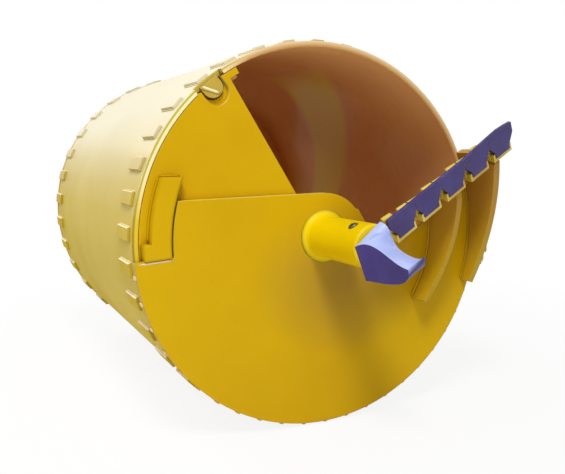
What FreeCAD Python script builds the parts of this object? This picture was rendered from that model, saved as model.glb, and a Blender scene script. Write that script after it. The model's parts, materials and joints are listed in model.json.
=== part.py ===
# Rotary drilling bucket with a rotating bottom, for a 1200 mm bore, lying on its side as it is stored.
#
# Every piece is modelled in the tool frame: the origin is the centre of the barrel's rim at the cutting
# end, x points right, y up and z out of the barrel, towards the ground that it cuts. Angles are counted
# from x towards y, as seen by someone who looks into the mouth. The last step of each piece lays the tool
# down: part X is tool x, part Y is minus tool z and part Z is tool y, from where the kelly pin's axis
# crosses the tool's axis.
import FreeCAD, Part
import Sketcher
import math
import os
import re

doc = FreeCAD.newDocument("DrillingBucket")
sheet = doc.addObject("Spreadsheet::Sheet", "Sizes")

# Millimetres and degrees.
SIZES = {
    # Barrel
    "ShellRadius": 550,
    "ShellWall": 16,
    "ShellLength": 1300,
    "TopPlateThickness": 25,
    "WindowInnerRadius": 240,
    "WindowRim": 110,
    "WindowSweep": 50,
    # Wear bars round both ends of the shell
    "WearPitchAngle": 9.76,
    "RearPitchAngle": 10,
    "WearBarHeight": 8,
    "WearBarWidth": 38,
    "WearBarTop": 34,
    "WearBarLength": 112,
    "WearSetback": 26,
    # Kelly box
    "KellySocket": 200,
    "KellyWall": 30,
    "KellyHeight": 260,
    "KellyCollarWall": 20,
    "KellyCollarHeight": 40,
    "KellyPinHole": 62,
    "KellyPinDepth": 110,
    "GussetThickness": 20,
    "GussetSetback": 150,
    "GussetHeight": 190,
    # Inner bottom plate, the hinged flap
    "FlapThickness": 25,
    "FlapClearance": 1.6,
    "CornerTabWidth": 18,
    "CornerTabAngle": 3.3,
    "StopBlockAngle": 121.3,
    "StopBlockHeight": 30,
    "StopBlockWidth": 40,
    "StopBlockLength": 34,
    "StopBlockGap": 0.3,
    "FlapHubRim": 3,
    "MouthEdgeAngle": 122.3,
    "FlapMouthOffset": 150,
    "NotchAngle": 128.2,
    "NotchWidth": 72,
    "RecessWidth": 94,
    "RecessDepth": 22,
    "NotchDepth": 62,
    "LedgeWidth": 19,
    "LedgeThickness": 12,
    "FlapRibHeight": 35,
    "FlapRibThickness": 15,
    # Rotating bottom plate
    "PlateGap": 2.6,
    "PlateThickness": 26,
    "PlateOverhang": 2.6,
    "PlateHubRadius": 134,
    "PlateHubDrop": 10,
    "TrailingAngle": 91.4,
    "StepAngle": 184.5,
    "StepInset": 102,
    "RimBeadHeight": 4,
    "RimBeadWidth": 10,
    "RimBeadAngle": 7.5,
    "RimBeadSweep": 180,
    # Stop lug
    "LugGap": 6,
    "LugRise": 3,
    "LugTop": 176,
    "LugHeelAngle": 179.6,
    "LugLegWidth": 53,
    "LugHeelWidth": 73,
    "StopClearance": 0.04,
    # Pivot of the rotating bottom
    "KingpinRadius": 60,
    "PivotRunningGap": 0.06,
    "BushWall": 15,
    "HousingWall": 40,
    "HousingHeight": 60,
    "RetainerRadius": 100,
    "RetainerThickness": 12,
    "RetainerGap": 0.4,
    "RetainerBoltRadius": 8,
    "RetainerBoltCircle": 36,
    "BoltHeadHeight": 10,
    # Tooth row, ramp and guards
    "ToothRowAngle": 33,
    "ToothRowStart": 102,
    "CuttingReach": 49.5,
    "TipHeight": 220,
    "ToothTilt": 17,
    "ToothLength": 78,
    "ToothThickness": 18,
    "ToothEdge": 4,
    "ToothBevel": 26,
    "ToothSeam": 0.7,
    "GaugeCrown": 12,
    "TangWidth": 30,
    "TangLength": 42,
    "TangDepth": 16,
    "TangClearance": 0.3,
    "ToothPinRadius": 6,
    "HolderThickness": 22,
    "HolderFront": 23,
    "HolderSkew": 12,
    "HolderLedge": 12,
    "CheekWidth": 8,
    "CheekDrop": 3,
    "BarThickness": 30,
    "BarFront": 64,
    "BarRear": 100,
    "RampFoot": 168,
    "RampThickness": 20,
    "WebThickness": 20,
    "WebOffset": 84,
    "GuardSlope": 19.8,
    "GuardDrop": 6,
    "WingInset": 28,
    "WingThickness": 25,
    "WingStartAngle": -18.3,
    "WingEndAngle": 27,
    "WingFront": 30,
    "FinInset": 182,
    "FinThickness": 20,
    "FinStartAngle": -33.7,
    # Pilot
    "PilotTubeRadius": 59.5,
    "PilotBoreRadius": 40,
    "PilotTubeEnd": 291,
    "PilotWeld": 17,
    "PilotPinRadius": 14,
    "PilotPinHeight": 231,
    "PilotPinAngle": 119.7,
    "ShankGap": 0.2,
    "ShankLength": 120,
    "BitReach": 121,
    "BitWidth": 95,
    # Flap hinge
    "HingeOffset": 42,
    "HingePinRadius": 20,
    "HingeEyeRadius": 24,
    "LugEyeRadius": 26,
    "HingeRunningGap": 0.08,
    "HingeArmOffset": 54,
    "HingeArmWidth": 30,
    "HingeArmDepth": 22,
    "HingeArmReach": 131,
    "HingeLugGap": 3,
    "HingeLugWidth": 25,
    "HingeLugLength": 110,
    "HingePinOverhang": 14,
    "RimSlotClearance": 4,
    # Latch and its release rod
    "LatchPivotInset": 37,
    "LatchPivotDepth": 105,
    "LatchPinRadius": 10,
    "LatchRunningGap": 0.06,
    "HookThickness": 20,
    "HookEyeRadius": 20,
    "HookArmInner": -4,
    "HookArmOuter": 12,
    "HookNose": 24,
    "HookNoseWidth": 58,
    "HookNoseOuter": 24,
    "HookNoseGap": 0.2,
    "HookTopGap": 3,
    "HookRidge": 2,
    "HookRidgeWidth": 9,
    "HookTail": 45,
    "HookThrow": 12,
    "CheekThickness": 12,
    "CheekGap": 0.5,
    "LinkPinRadius": 6,
    "LinkSlotPlay": 2,
    "RodRadius": 16,
    "ForkLength": 56,
    "ForkWidth": 42,
    "ForkDepth": 28,
    "GuideLength": 30,
    "GuideWidth": 60,
    "GuardWidth": 90,
    "GuardWall": 8,
    "GuardStandoff": 128,
    "SpringRadius": 26,
    "SpringWire": 7,
    "SpringLength": 100,
    "SpringTurns": 5,
    "TriggerThickness": 20,
    "TriggerWidth": 120,
    "TriggerLength": 170,
}

for row, (alias, value) in enumerate(SIZES.items(), start=1):
    sheet.set(f"A{row}", alias)
    sheet.set(f"B{row}", str(value))
    sheet.setAlias(f"B{row}", alias)
doc.recompute()

NODES = []


def size(alias):
    """The value of one cell of the sheet."""
    return float(sheet.get(alias))


def formula(text):
    """An expression for the document, from one that names the sheet's cells only."""
    return re.sub(r"\b([A-Z][A-Za-z]+)\b", r"Sizes.\1", str(text))


def bind(thing, prop, text):
    thing.setExpression(prop, formula(text))


def turned(x, y, angle):
    """The point (x, y) turned about the tool axis, as a pair of formulas."""
    return (
        f"(({x})*cos({angle})-({y})*sin({angle}))",
        f"(({x})*sin({angle})+({y})*cos({angle}))",
    )


# Where pieces go

AXIS_X = FreeCAD.Vector(1, 0, 0)
AXIS_Y = FreeCAD.Vector(0, 1, 0)
AXIS_Z = FreeCAD.Vector(0, 0, 1)


def kelly_pin_depth():
    """How far the kelly pin's centre is above the rim."""
    above = size("ShellLength") + size("TopPlateThickness") + size("KellyHeight")
    return above - size("KellyPinDepth")


LYING = FreeCAD.Placement(FreeCAD.Vector(0, -kelly_pin_depth(), 0), FreeCAD.Rotation(AXIS_X, 90))


def turn(axis, degrees, x=0, y=0, z=0):
    """A move to (x, y, z) after a turn about an axis."""
    return FreeCAD.Placement(FreeCAD.Vector(x, y, z), FreeCAD.Rotation(axis, degrees))


def node(thing, label, place=FreeCAD.Placement()):
    """Names a finished piece and lays it down."""
    thing.Label = label
    thing.Placement = LYING.multiply(place)
    NODES.append(thing)
    return thing


# Ways to make a shape


def cylinder(name, radius, length, z="0", angle="360", start="0"):
    """A cylinder, or a sector of one, about the tool axis."""
    made = doc.addObject("Part::Cylinder", name)
    bind(made, "Radius", radius)
    bind(made, "Height", length)
    bind(made, "Angle", angle)
    bind(made, "Placement.Base.z", z)
    bind(made, "Placement.Rotation.Angle", start)
    return made


def ring(name, inner, outer, length, z="0", angle="360", start="0"):
    """A ring, or a sector of one, about the tool axis."""
    return cut(
        name,
        cylinder(name + "_outer", outer, length, z, angle, start),
        cylinder(name + "_inner", inner, f"({length})+2", f"({z})-1"),
    )


def boolean(kind, name, base, tool):
    made = doc.addObject(kind, name)
    made.Base = base
    made.Tool = tool
    return made


def cut(name, base, *tools):
    for number, tool in enumerate(tools):
        base = boolean("Part::Cut", f"{name}_cut{number}", base, tool)
    return base


def common(name, base, tool):
    return boolean("Part::Common", name + "_common", base, tool)


def fuse(name, *pieces):
    made = doc.addObject("Part::MultiFuse", name + "_fuse")
    made.Shapes = list(pieces)
    made.Refine = True
    return made


def new_body(name):
    body = doc.addObject("PartDesign::Body", name)
    body.AllowCompound = True
    return body


def sketch(body, plane, offset="0"):
    """An empty sketch on one of the body's own origin planes."""
    face = next(f for f in body.Origin.OriginFeatures if f.Role == plane + "_Plane")
    made = body.newObject("Sketcher::SketchObject", body.Name + "_sketch")
    made.AttachmentSupport = [(face, "")]
    made.MapMode = "FlatFace"
    bind(made, "AttachmentOffset.Base.z", offset)
    return made


def outline(drawing, points):
    """A closed run of straight lines through points, each held by its two distances from the origin."""
    first = drawing.GeometryCount
    count = len(points)
    for index in range(count):
        angle = 2 * math.pi * index / count
        after = 2 * math.pi * (index + 1) / count
        begin = FreeCAD.Vector(50 * math.cos(angle), 50 * math.sin(angle), 0)
        end = FreeCAD.Vector(50 * math.cos(after), 50 * math.sin(after), 0)
        drawing.addGeometry(Part.LineSegment(begin, end), False)
    for index in range(count):
        joined = Sketcher.Constraint("Coincident", first + index, 2, first + (index + 1) % count, 1)
        drawing.addConstraint(joined)
    for index, point in enumerate(points):
        for kind, text in zip(("DistanceX", "DistanceY"), point):
            held = drawing.addConstraint(Sketcher.Constraint(kind, -1, 1, first + index, 1, 50.0))
            drawing.setExpression(f"Constraints[{held}]", formula(text))


def round_hole(drawing, x, y, radius):
    """A circle held by its centre and radius."""
    made = drawing.addGeometry(Part.Circle(FreeCAD.Vector(30, 30, 0), AXIS_Z, 10), False)
    for kind, text in (("DistanceX", x), ("DistanceY", y)):
        held = drawing.addConstraint(Sketcher.Constraint(kind, -1, 1, made, 3, 30.0))
        drawing.setExpression(f"Constraints[{held}]", formula(text))
    held = drawing.addConstraint(Sketcher.Constraint("Radius", made, 10.0))
    drawing.setExpression(f"Constraints[{held}]", formula(radius))


def pad(body, drawing, length, both_ways=False):
    made = body.newObject("PartDesign::Pad", body.Name + "_pad")
    made.Profile = drawing
    made.SideType = "Symmetric" if both_ways else "One side"
    bind(made, "Length", length)
    drawing.Visibility = False
    return made


def pocket(body, drawing, length, both_ways=False, reverse=False):
    made = body.newObject("PartDesign::Pocket", body.Name + "_pocket")
    made.Profile = drawing
    made.SideType = "Symmetric" if both_ways else "One side"
    made.Reversed = reverse
    bind(made, "Length", length)
    drawing.Visibility = False
    return made


def rectangle(x_low, x_high, y_low, y_high):
    return [(x_low, y_low), (x_high, y_low), (x_high, y_high), (x_low, y_high)]


def prism(name, plane, points, length, offset="0", both_ways=False):
    """A body that is one padded outline."""
    body = new_body(name)
    drawing = sketch(body, plane, offset)
    outline(drawing, points)
    pad(body, drawing, length, both_ways)
    return body


def turning(name, points):
    """A body turned about the tool axis from an outline of (radius, height) points."""
    body = new_body(name)
    drawing = sketch(body, "XZ")
    outline(drawing, points)
    made = body.newObject("PartDesign::Revolution", name + "_turned")
    made.Profile = drawing
    made.ReferenceAxis = (drawing, ["V_Axis"])
    made.Angle = 360
    return body


def polar(body, feature, count, sweep):
    """Copies of a feature about the tool axis."""
    axis = next(f for f in body.Origin.OriginFeatures if f.Role == "Z_Axis")
    made = body.newObject("PartDesign::PolarPattern", body.Name + "_copies")
    made.Originals = [feature]
    made.Axis = (axis, [""])
    made.Angle = sweep
    made.Occurrences = count
    body.Tip = made
    return made


# Barrel

INSIDE_RADIUS = "(ShellRadius-ShellWall)"
FLAP_RADIUS = "(ShellRadius-ShellWall-FlapClearance)"
HINGE_X = "(ShellRadius+HingeOffset)"
HINGE_Z = "(-FlapThickness/2)"
TOP_FACE = "(-ShellLength-TopPlateThickness)"
KELLY_HALF = "(KellySocket/2+KellyWall)"


def shell():
    """The rolled tube. Its rim has two slots for the hinge arms and a recess for the latch hook."""
    tube = ring("shell_tube", "ShellRadius-ShellWall", "ShellRadius", "ShellLength", "-ShellLength")
    slots = []
    for name, side in (("upper", 1), ("lower", -1)):
        low = "HingeArmOffset-RimSlotClearance"
        high = "HingeArmOffset+HingeArmWidth+RimSlotClearance"
        slots.append(
            prism(
                f"rim_slot_{name}",
                "XY",
                rectangle("ShellRadius-90", "ShellRadius+40", f"{side}*({low})", f"{side}*({high})"),
                "FlapThickness+HingeArmDepth+RimSlotClearance+10",
                "-FlapThickness-HingeArmDepth-RimSlotClearance",
            )
        )
    recess = prism("rim_recess", "XY",
                   rectangle("ShellRadius-60", "ShellRadius+40", "-RecessWidth/2", "RecessWidth/2"),
                   "RecessDepth+10", "-RecessDepth")
    recess.Placement = LATCH_TURN
    node(cut("shell", tube, *slots, recess), "shell")


def flap_stops():
    """Two blocks inside the shell that the closed flap rests on."""
    blocks = []
    for name, side in (("upper", 1), ("lower", -1)):
        body = new_body(f"stop_block_{name}")
        drawing = sketch(body, "XZ")
        outline(drawing, [
            (f"{INSIDE_RADIUS}-StopBlockHeight", "-FlapThickness-StopBlockGap"),
            ("ShellRadius", "-FlapThickness-StopBlockGap"),
            ("ShellRadius", "-FlapThickness-StopBlockGap-StopBlockLength"),
            (f"{INSIDE_RADIUS}-StopBlockHeight/3", "-FlapThickness-StopBlockGap-StopBlockLength"),
            (f"{INSIDE_RADIUS}-StopBlockHeight", "-FlapThickness-StopBlockGap-StopBlockLength/2"),
        ])
        pad(body, drawing, "StopBlockWidth", both_ways=True)
        body.Placement = turn(AXIS_Z, side * size("StopBlockAngle"))
        blocks.append(body)
    blank = fuse("flap_stop_blank", *blocks)
    bound = cylinder("stop_bound", INSIDE_RADIUS, "ShellLength", "-ShellLength")
    node(common("flap_stops", blank, bound), "flap_stops")


def top_plate():
    """The disc that closes the top end, with four windows, the kelly socket and the rod's hole."""
    disc = cylinder("top_disc", "ShellRadius", "TopPlateThickness", TOP_FACE)
    tools = []
    for quarter in range(4):
        tools.append(
            ring(
                f"window_{quarter}",
                "WindowInnerRadius",
                "ShellRadius-WindowRim",
                "TopPlateThickness+4",
                f"{TOP_FACE}-2",
                "WindowSweep",
                f"{quarter}*90-WindowSweep/2",
            )
        )
    half = "KellySocket/2"
    square = rectangle(f"-{half}", half, f"-{half}", half)
    tools.append(prism("top_socket", "XY", square, "TopPlateThickness+4", f"{TOP_FACE}-2"))
    hole = cylinder("rod_hole", "RodRadius+1", "TopPlateThickness+4", f"{TOP_FACE}-2")
    for axis, text in zip("xy", turned(ROD_RADIUS, "0", "NotchAngle")):
        bind(hole, f"Placement.Base.{axis}", text)
    tools.append(hole)
    node(cut("top_plate", disc, *tools), "top_plate")


def wear_bars(label, z, pitch_size, before, after):
    """Hardfaced bars round the shell. The bucket lies on the two each side of its lowest line."""
    body = new_body(label + "_set")
    drawing = sketch(body, "XY", z)
    outline(drawing, [
        ("ShellRadius-8", "-WearBarWidth/2"),
        ("ShellRadius+WearBarHeight/2", "-WearBarWidth/2"),
        ("ShellRadius+WearBarHeight", "-WearBarTop/2"),
        ("ShellRadius+WearBarHeight", "WearBarTop/2"),
        ("ShellRadius+WearBarHeight/2", "WearBarWidth/2"),
        ("ShellRadius-8", "WearBarWidth/2"),
    ])
    one = pad(body, drawing, "WearBarLength")
    pitch = size(pitch_size)
    polar(body, one, before + after, pitch * (before + after - 1))
    trimmed = cut(label, body, cylinder(label + "_core", "ShellRadius", "ShellLength*3", "-ShellLength*2"))
    node(trimmed, label, turn(AXIS_Z, 270 - (before - 0.5) * pitch))


def wear_rings():
    """A ring of wear bars at both ends. The front one leaves room for the hinge."""
    beside_hinge = 20
    pitch = size("WearPitchAngle")
    before = int((270 - beside_hinge) / pitch + 0.5)
    after = int((90 - beside_hinge) / pitch + 0.5)
    wear_bars("front_wear_bars", "-WearSetback-WearBarLength", "WearPitchAngle", before, after)
    half = round(180 / size("RearPitchAngle"))
    wear_bars("rear_wear_bars", "-ShellLength", "RearPitchAngle", half, half)


def kelly_box():
    """The square socket for the kelly bar's stub, its collar and four diagonal gussets."""
    box = prism("kelly_box", "XY", rectangle(f"-{KELLY_HALF}", KELLY_HALF, f"-{KELLY_HALF}", KELLY_HALF),
                "KellyHeight", f"{TOP_FACE}-KellyHeight")
    half = "KellySocket/2"
    drawing = sketch(box, "XY", f"{TOP_FACE}-KellyHeight")
    outline(drawing, rectangle(f"-{half}", half, f"-{half}", half))
    pocket(box, drawing, "KellyHeight", reverse=True)
    drawing = sketch(box, "YZ")
    round_hole(drawing, "0", f"{TOP_FACE}-KellyHeight+KellyPinDepth", "KellyPinHole/2")
    pocket(box, drawing, f"2*{KELLY_HALF}+20", both_ways=True)
    node(box, "kelly_box")

    wide = f"({KELLY_HALF}+KellyCollarWall)"
    collar = prism("kelly_collar", "XY", rectangle(f"-{wide}", wide, f"-{wide}", wide),
                   "KellyCollarHeight", f"{TOP_FACE}-KellyHeight")
    drawing = sketch(collar, "XY", f"{TOP_FACE}-KellyHeight")
    outline(drawing, rectangle(f"-{KELLY_HALF}", KELLY_HALF, f"-{KELLY_HALF}", KELLY_HALF))
    pocket(collar, drawing, "KellyCollarHeight", reverse=True)
    node(collar, "kelly_collar")

    body = new_body("gusset_set")
    drawing = sketch(body, "XZ")
    outline(drawing, [
        ("KellySocket/2", TOP_FACE),
        ("ShellRadius-GussetSetback", TOP_FACE),
        ("ShellRadius-GussetSetback", f"{TOP_FACE}-30"),
        (f"{KELLY_HALF}*1.6", f"{TOP_FACE}-GussetHeight"),
        ("KellySocket/2", f"{TOP_FACE}-GussetHeight"),
    ])
    polar(body, pad(body, drawing, "GussetThickness", both_ways=True), 4, 270)
    core = prism("gusset_core", "XY",
                 [("0", f"-{KELLY_HALF}*sqrt(2)"), (f"{KELLY_HALF}*sqrt(2)", "0"),
                  ("0", f"{KELLY_HALF}*sqrt(2)"), (f"-{KELLY_HALF}*sqrt(2)", "0")],
                 "KellyHeight+10", f"{TOP_FACE}-KellyHeight-5")
    node(cut("kelly_gussets", body, core), "kelly_gussets", turn(AXIS_Z, 45))


# Inner bottom plate, hinged to the barrel


def row_point(along, ahead):
    """A point by its distance along the tooth row and ahead of it, in the tool frame."""
    return turned(along, ahead, "ToothRowAngle")


def inner_plate():
    """The flap: a disc inside the rim with the mouth, the pivot bore and the latch notch."""
    body = new_body("flap_disc")
    drawing = sketch(body, "XY", "-FlapThickness")
    round_hole(drawing, "0", "0", FLAP_RADIUS)
    pad(body, drawing, "FlapThickness")
    drawing = sketch(body, "XY", "-FlapThickness")
    outline(drawing, [
        ("0", "0"),
        row_point("60", "-FlapMouthOffset"),
        row_point("ShellRadius*1.4", "-FlapMouthOffset"),
        row_point("ShellRadius*1.4", "ShellRadius*1.4"),
        turned("ShellRadius*1.6", "0", "MouthEdgeAngle"),
    ])
    pocket(body, drawing, "FlapThickness", reverse=True)
    drawing = sketch(body, "XY", "-FlapThickness")
    round_hole(drawing, "0", "0", "KingpinRadius+BushWall+HousingWall+FlapHubRim")
    pad(body, drawing, "FlapThickness")
    drawing = sketch(body, "XY", "-FlapThickness")
    round_hole(drawing, "0", "0", "KingpinRadius+BushWall")
    pocket(body, drawing, "FlapThickness", reverse=True)
    bottom = f"({FLAP_RADIUS}-NotchDepth)"
    half = "NotchWidth/2"
    for depth, reach, z in (
        ("FlapThickness", f"({bottom}+LedgeWidth)", "-FlapThickness"),
        ("LedgeThickness", bottom, "-LedgeThickness"),
    ):
        drawing = sketch(body, "XY", z)
        corners = rectangle(f"{reach}+{half}", "ShellRadius", f"-{half}", half)
        outline(drawing, [turned(x, y, "NotchAngle") for x, y in corners])
        pocket(body, drawing, depth, reverse=True)
        drawing = sketch(body, "XY", z)
        round_hole(drawing, *turned(f"{reach}+{half}", "0", "NotchAngle"), half)
        pocket(body, drawing, depth, reverse=True)
    tab = ring("corner_tab", f"{FLAP_RADIUS}-CornerTabWidth", FLAP_RADIUS, "FlapThickness", "-FlapThickness",
               "CornerTabAngle+2", "MouthEdgeAngle-CornerTabAngle")
    node(fuse("inner_plate", body, tab), "inner_plate")


def stop_lug():
    """The L-shaped lug that the rotating plate's step stands against while drilling."""
    tall = "PlateGap+PlateThickness+LugRise"
    inner = "(ShellRadius-StepInset+LugGap)"
    heel = ring("lug_heel", inner, f"{inner}+LugHeelWidth", tall, "0",
                "StepAngle-StopClearance-LugHeelAngle", "LugHeelAngle")
    leg = ring("lug_leg", inner, f"{inner}+LugLegWidth", tall, "0", "60", "LugHeelAngle-60")
    above = prism("lug_end", "XY", rectangle("-ShellRadius", "0", "LugTop", "ShellRadius"),
                  "PlateGap+PlateThickness+LugRise+4", "-2")
    node(fuse("stop_lug", heel, cut("lug_leg_trimmed", leg, above)), "stop_lug")


def flap_pivot():
    """The housing under the flap, its bronze bush and the washer between the two plates."""
    bore = "KingpinRadius+BushWall"
    node(ring("hub_housing", bore, f"{bore}+HousingWall", "HousingHeight",
              "-FlapThickness-HousingHeight"), "hub_housing")
    node(ring("pivot_bush", "KingpinRadius+PivotRunningGap", bore, "FlapThickness+HousingHeight",
              "-FlapThickness-HousingHeight"), "pivot_bush")
    node(ring("thrust_washer", "KingpinRadius+BushWall/2", f"{bore}+HousingWall*0.9", "PlateGap"),
         "thrust_washer")


def flap_ribs():
    """Two stiffening ribs on the barrel side of the flap, from the housing outwards."""
    body = new_body("flap_rib_set")
    drawing = sketch(body, "XZ")
    start = "KingpinRadius+BushWall+HousingWall-8"
    outline(drawing, [
        (start, "-FlapThickness"),
        (f"{FLAP_RADIUS}*0.9", "-FlapThickness"),
        (f"{FLAP_RADIUS}*0.86", "-FlapThickness-FlapRibHeight*0.3"),
        (f"{FLAP_RADIUS}*0.5", "-FlapThickness-FlapRibHeight"),
        (start, "-FlapThickness-FlapRibHeight"),
    ])
    polar(body, pad(body, drawing, "FlapRibThickness", both_ways=True), 2, 90)
    core = cylinder("rib_core", "KingpinRadius+BushWall+HousingWall", "HousingHeight+40",
                    "-FlapThickness-HousingHeight-20")
    node(cut("flap_ribs", body, core), "flap_ribs", turn(AXIS_Z, 205))


def hinge():
    """Two arms under the flap, two lugs on the shell, and the pin through all four."""
    arms = []
    lugs = []
    lug_start = "(HingeArmOffset+HingeArmWidth+HingeLugGap)"
    for name, side in (("upper", -1), ("lower", 1)):
        middle = f"{side}*(HingeArmOffset+HingeArmWidth/2)"
        arm = new_body(f"hinge_arm_{name}")
        drawing = sketch(arm, "XZ", middle)
        under = "-FlapThickness"
        outline(drawing, [
            (f"{FLAP_RADIUS}-HingeArmReach", under),
            (f"{FLAP_RADIUS}-HingeArmReach+20", f"{under}-HingeArmDepth"),
            (HINGE_X, f"{under}-HingeArmDepth"),
            (HINGE_X, "-2"),
            ("ShellRadius-8", "-2"),
            (f"{FLAP_RADIUS}+4", under),
        ])
        pad(arm, drawing, "HingeArmWidth", both_ways=True)
        drawing = sketch(arm, "XZ", middle)
        round_hole(drawing, HINGE_X, HINGE_Z, "HingeEyeRadius+HingeArmDepth/2")
        pad(arm, drawing, "HingeArmWidth", both_ways=True)
        drawing = sketch(arm, "XZ", middle)
        round_hole(drawing, HINGE_X, HINGE_Z, "HingePinRadius+HingeRunningGap")
        pocket(arm, drawing, "HingeArmWidth+4", both_ways=True)
        arms.append(arm)

        lug = new_body(f"hinge_lug_{name}")
        middle = f"{side}*({lug_start}+HingeLugWidth/2)"
        drawing = sketch(lug, "XZ", middle)
        outline(drawing, [
            ("ShellRadius-60", "-LugEyeRadius*0.5"),
            ("ShellRadius-60", "-HingeLugLength"),
            ("ShellRadius+6", "-HingeLugLength"),
            (f"{HINGE_X}+LugEyeRadius*0.8", f"{HINGE_Z}-LugEyeRadius*0.6"),
            (HINGE_X, HINGE_Z),
        ])
        pad(lug, drawing, "HingeLugWidth", both_ways=True)
        drawing = sketch(lug, "XZ", middle)
        round_hole(drawing, HINGE_X, HINGE_Z, "LugEyeRadius")
        pad(lug, drawing, "HingeLugWidth", both_ways=True)
        drawing = sketch(lug, "XZ", middle)
        round_hole(drawing, HINGE_X, HINGE_Z, "HingePinRadius")
        pocket(lug, drawing, "HingeLugWidth+4", both_ways=True)
        core = cylinder(f"lug_core_{name}", "ShellRadius", "ShellLength", "-ShellLength")
        lugs.append(cut(f"hinge_lug_{name}", lug, core))
    node(fuse("hinge_arms", *arms), "hinge_arms")
    node(fuse("hinge_lugs", *lugs), "hinge_lugs")

    half = f"({lug_start}+HingeLugWidth+HingePinOverhang)"
    pin = new_body("hinge_pin")
    drawing = sketch(pin, "XZ")
    round_hole(drawing, HINGE_X, HINGE_Z, "HingePinRadius")
    pad(pin, drawing, f"2*{half}", both_ways=True)
    for side in (-1, 1):
        drawing = sketch(pin, "YZ")
        round_hole(drawing, f"{side}*({half}-HingePinOverhang/2)", HINGE_Z, "3")
        pocket(pin, drawing, f"2*({HINGE_X}+60)", both_ways=True)
    node(pin, "hinge_pin")
    cotters = []
    for name, side in (("upper", 1), ("lower", -1)):
        cotter = new_body(f"hinge_cotter_{name}")
        drawing = sketch(cotter, "YZ", f"{HINGE_X}-HingePinRadius-9")
        round_hole(drawing, f"{side}*({half}-HingePinOverhang/2)", HINGE_Z, "2.9")
        pad(cotter, drawing, "2*HingePinRadius+18")
        cotters.append(cotter)
    node(fuse("hinge_cotters", *cotters), "hinge_cotters")


# Rotating bottom plate and its pivot

PLATE_RADIUS = "(ShellRadius+PlateOverhang)"
PLATE_FACE = "(PlateGap+PlateThickness)"


def rotating_plate():
    """The outer bottom plate: open ahead of the tooth row, with a step that meets the stop lug."""
    body = new_body("rotating_disc")
    drawing = sketch(body, "XY", "PlateGap")
    round_hole(drawing, "0", "0", PLATE_RADIUS)
    pad(body, drawing, "PlateThickness")
    far = "ShellRadius*1.5"
    drawing = sketch(body, "XY", "PlateGap")
    outline(drawing, [
        row_point("PlateHubRadius", "0"),
        row_point("PlateHubRadius", "-RampFoot"),
        row_point(far, "-RampFoot"),
        row_point(far, far),
        turned("PlateHubRadius-PlateHubDrop", far, "TrailingAngle"),
        turned("PlateHubRadius-PlateHubDrop", "0", "TrailingAngle"),
    ])
    pocket(body, drawing, "PlateThickness", reverse=True)
    drawing = sketch(body, "XY", "PlateGap")
    round_hole(drawing, "0", "-PlateHubDrop", "PlateHubRadius")
    pad(body, drawing, "PlateThickness")
    step = ring("plate_step", "ShellRadius-StepInset", far, "PlateThickness+4", "PlateGap-2", "40", "StepAngle-40")
    node(cut("rotating_plate", body, step), "rotating_plate")


def rim_beads():
    """Hardfacing beads round the rotating plate's edge."""
    body = new_body("rim_bead_set")
    drawing = sketch(body, "XY", "PlateGap+3")
    outline(drawing, rectangle("ShellRadius-4", f"{PLATE_RADIUS}+RimBeadHeight",
                               "-RimBeadWidth/2", "RimBeadWidth/2"))
    one = pad(body, drawing, "PlateThickness-6")
    pitch = size("RimBeadAngle")
    count = round(size("RimBeadSweep") / pitch)
    polar(body, one, count, pitch * (count - 1))
    core = cylinder("bead_core", PLATE_RADIUS, "PlateThickness*3", "-PlateThickness")
    node(cut("rim_beads", body, core), "rim_beads", turn(AXIS_Z, size("StepAngle") + 4))


def kingpin():
    """The pivot shaft under the rotating plate, its retaining disc and six bolts."""
    low = "(-FlapThickness-HousingHeight-RetainerGap)"
    body = new_body("kingpin")
    drawing = sketch(body, "XY", low)
    round_hole(drawing, "0", "0", "KingpinRadius")
    pad(body, drawing, f"PlateGap-{low}")
    drawing = sketch(body, "XY", low)
    round_hole(drawing, "RetainerBoltCircle", "0", "RetainerBoltRadius")
    polar(body, pocket(body, drawing, "HousingHeight*0.7", reverse=True), 6, 360)
    node(body, "kingpin")

    disc = new_body("kingpin_retainer")
    drawing = sketch(disc, "XY", f"{low}-RetainerThickness")
    round_hole(drawing, "0", "0", "RetainerRadius")
    pad(disc, drawing, "RetainerThickness")
    drawing = sketch(disc, "XY", f"{low}-RetainerThickness")
    round_hole(drawing, "RetainerBoltCircle", "0", "RetainerBoltRadius")
    polar(disc, pocket(disc, drawing, "RetainerThickness", reverse=True), 6, 360)
    node(disc, "kingpin_retainer")

    bolts = new_body("retainer_bolts")
    drawing = sketch(bolts, "XY", f"{low}-RetainerThickness-BoltHeadHeight")
    across = "RetainerBoltRadius*1.5"
    outline(drawing, [
        (f"RetainerBoltCircle+{across}/cos(30)*cos({60 * corner})", f"{across}/cos(30)*sin({60 * corner})")
        for corner in range(6)
    ])
    head = pad(bolts, drawing, "BoltHeadHeight")
    drawing = sketch(bolts, "XY", f"{low}-RetainerThickness-BoltHeadHeight")
    round_hole(drawing, "RetainerBoltCircle", "0", "RetainerBoltRadius-0.1")
    shank = pad(bolts, drawing, "BoltHeadHeight+RetainerThickness+HousingHeight*0.6")
    made = polar(bolts, head, 6, 360)
    made.Originals = [head, shank]
    node(bolts, "retainer_bolts")


# Tooth row. Its pieces are modelled with x along the row, y ahead of it and z out of the barrel, and
# their sections are drawn by the distance back from the cutting edge and in under the blades.

ROW_TURN = turn(AXIS_Z, size("ToothRowAngle"))
HOLDER_TOP = "ToothThickness"
BAR_TOP = "(ToothThickness+HolderThickness)"
BAR_UNDER = "(ToothThickness+HolderThickness+BarThickness)"
TOOTH_COUNT = 5
TOOTH_PITCH = f"((ShellRadius+CuttingReach-ToothRowStart)/{TOOTH_COUNT})"
WING_INNER = "(ShellRadius-WingInset)"


def section(back, under):
    """A point of the tooth section, as (ahead, out) formulas."""
    return (
        f"(-({back})*cos(ToothTilt)+({under})*sin(ToothTilt))",
        f"(TipHeight-({back})*sin(ToothTilt)-({under})*cos(ToothTilt))",
    )


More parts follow.
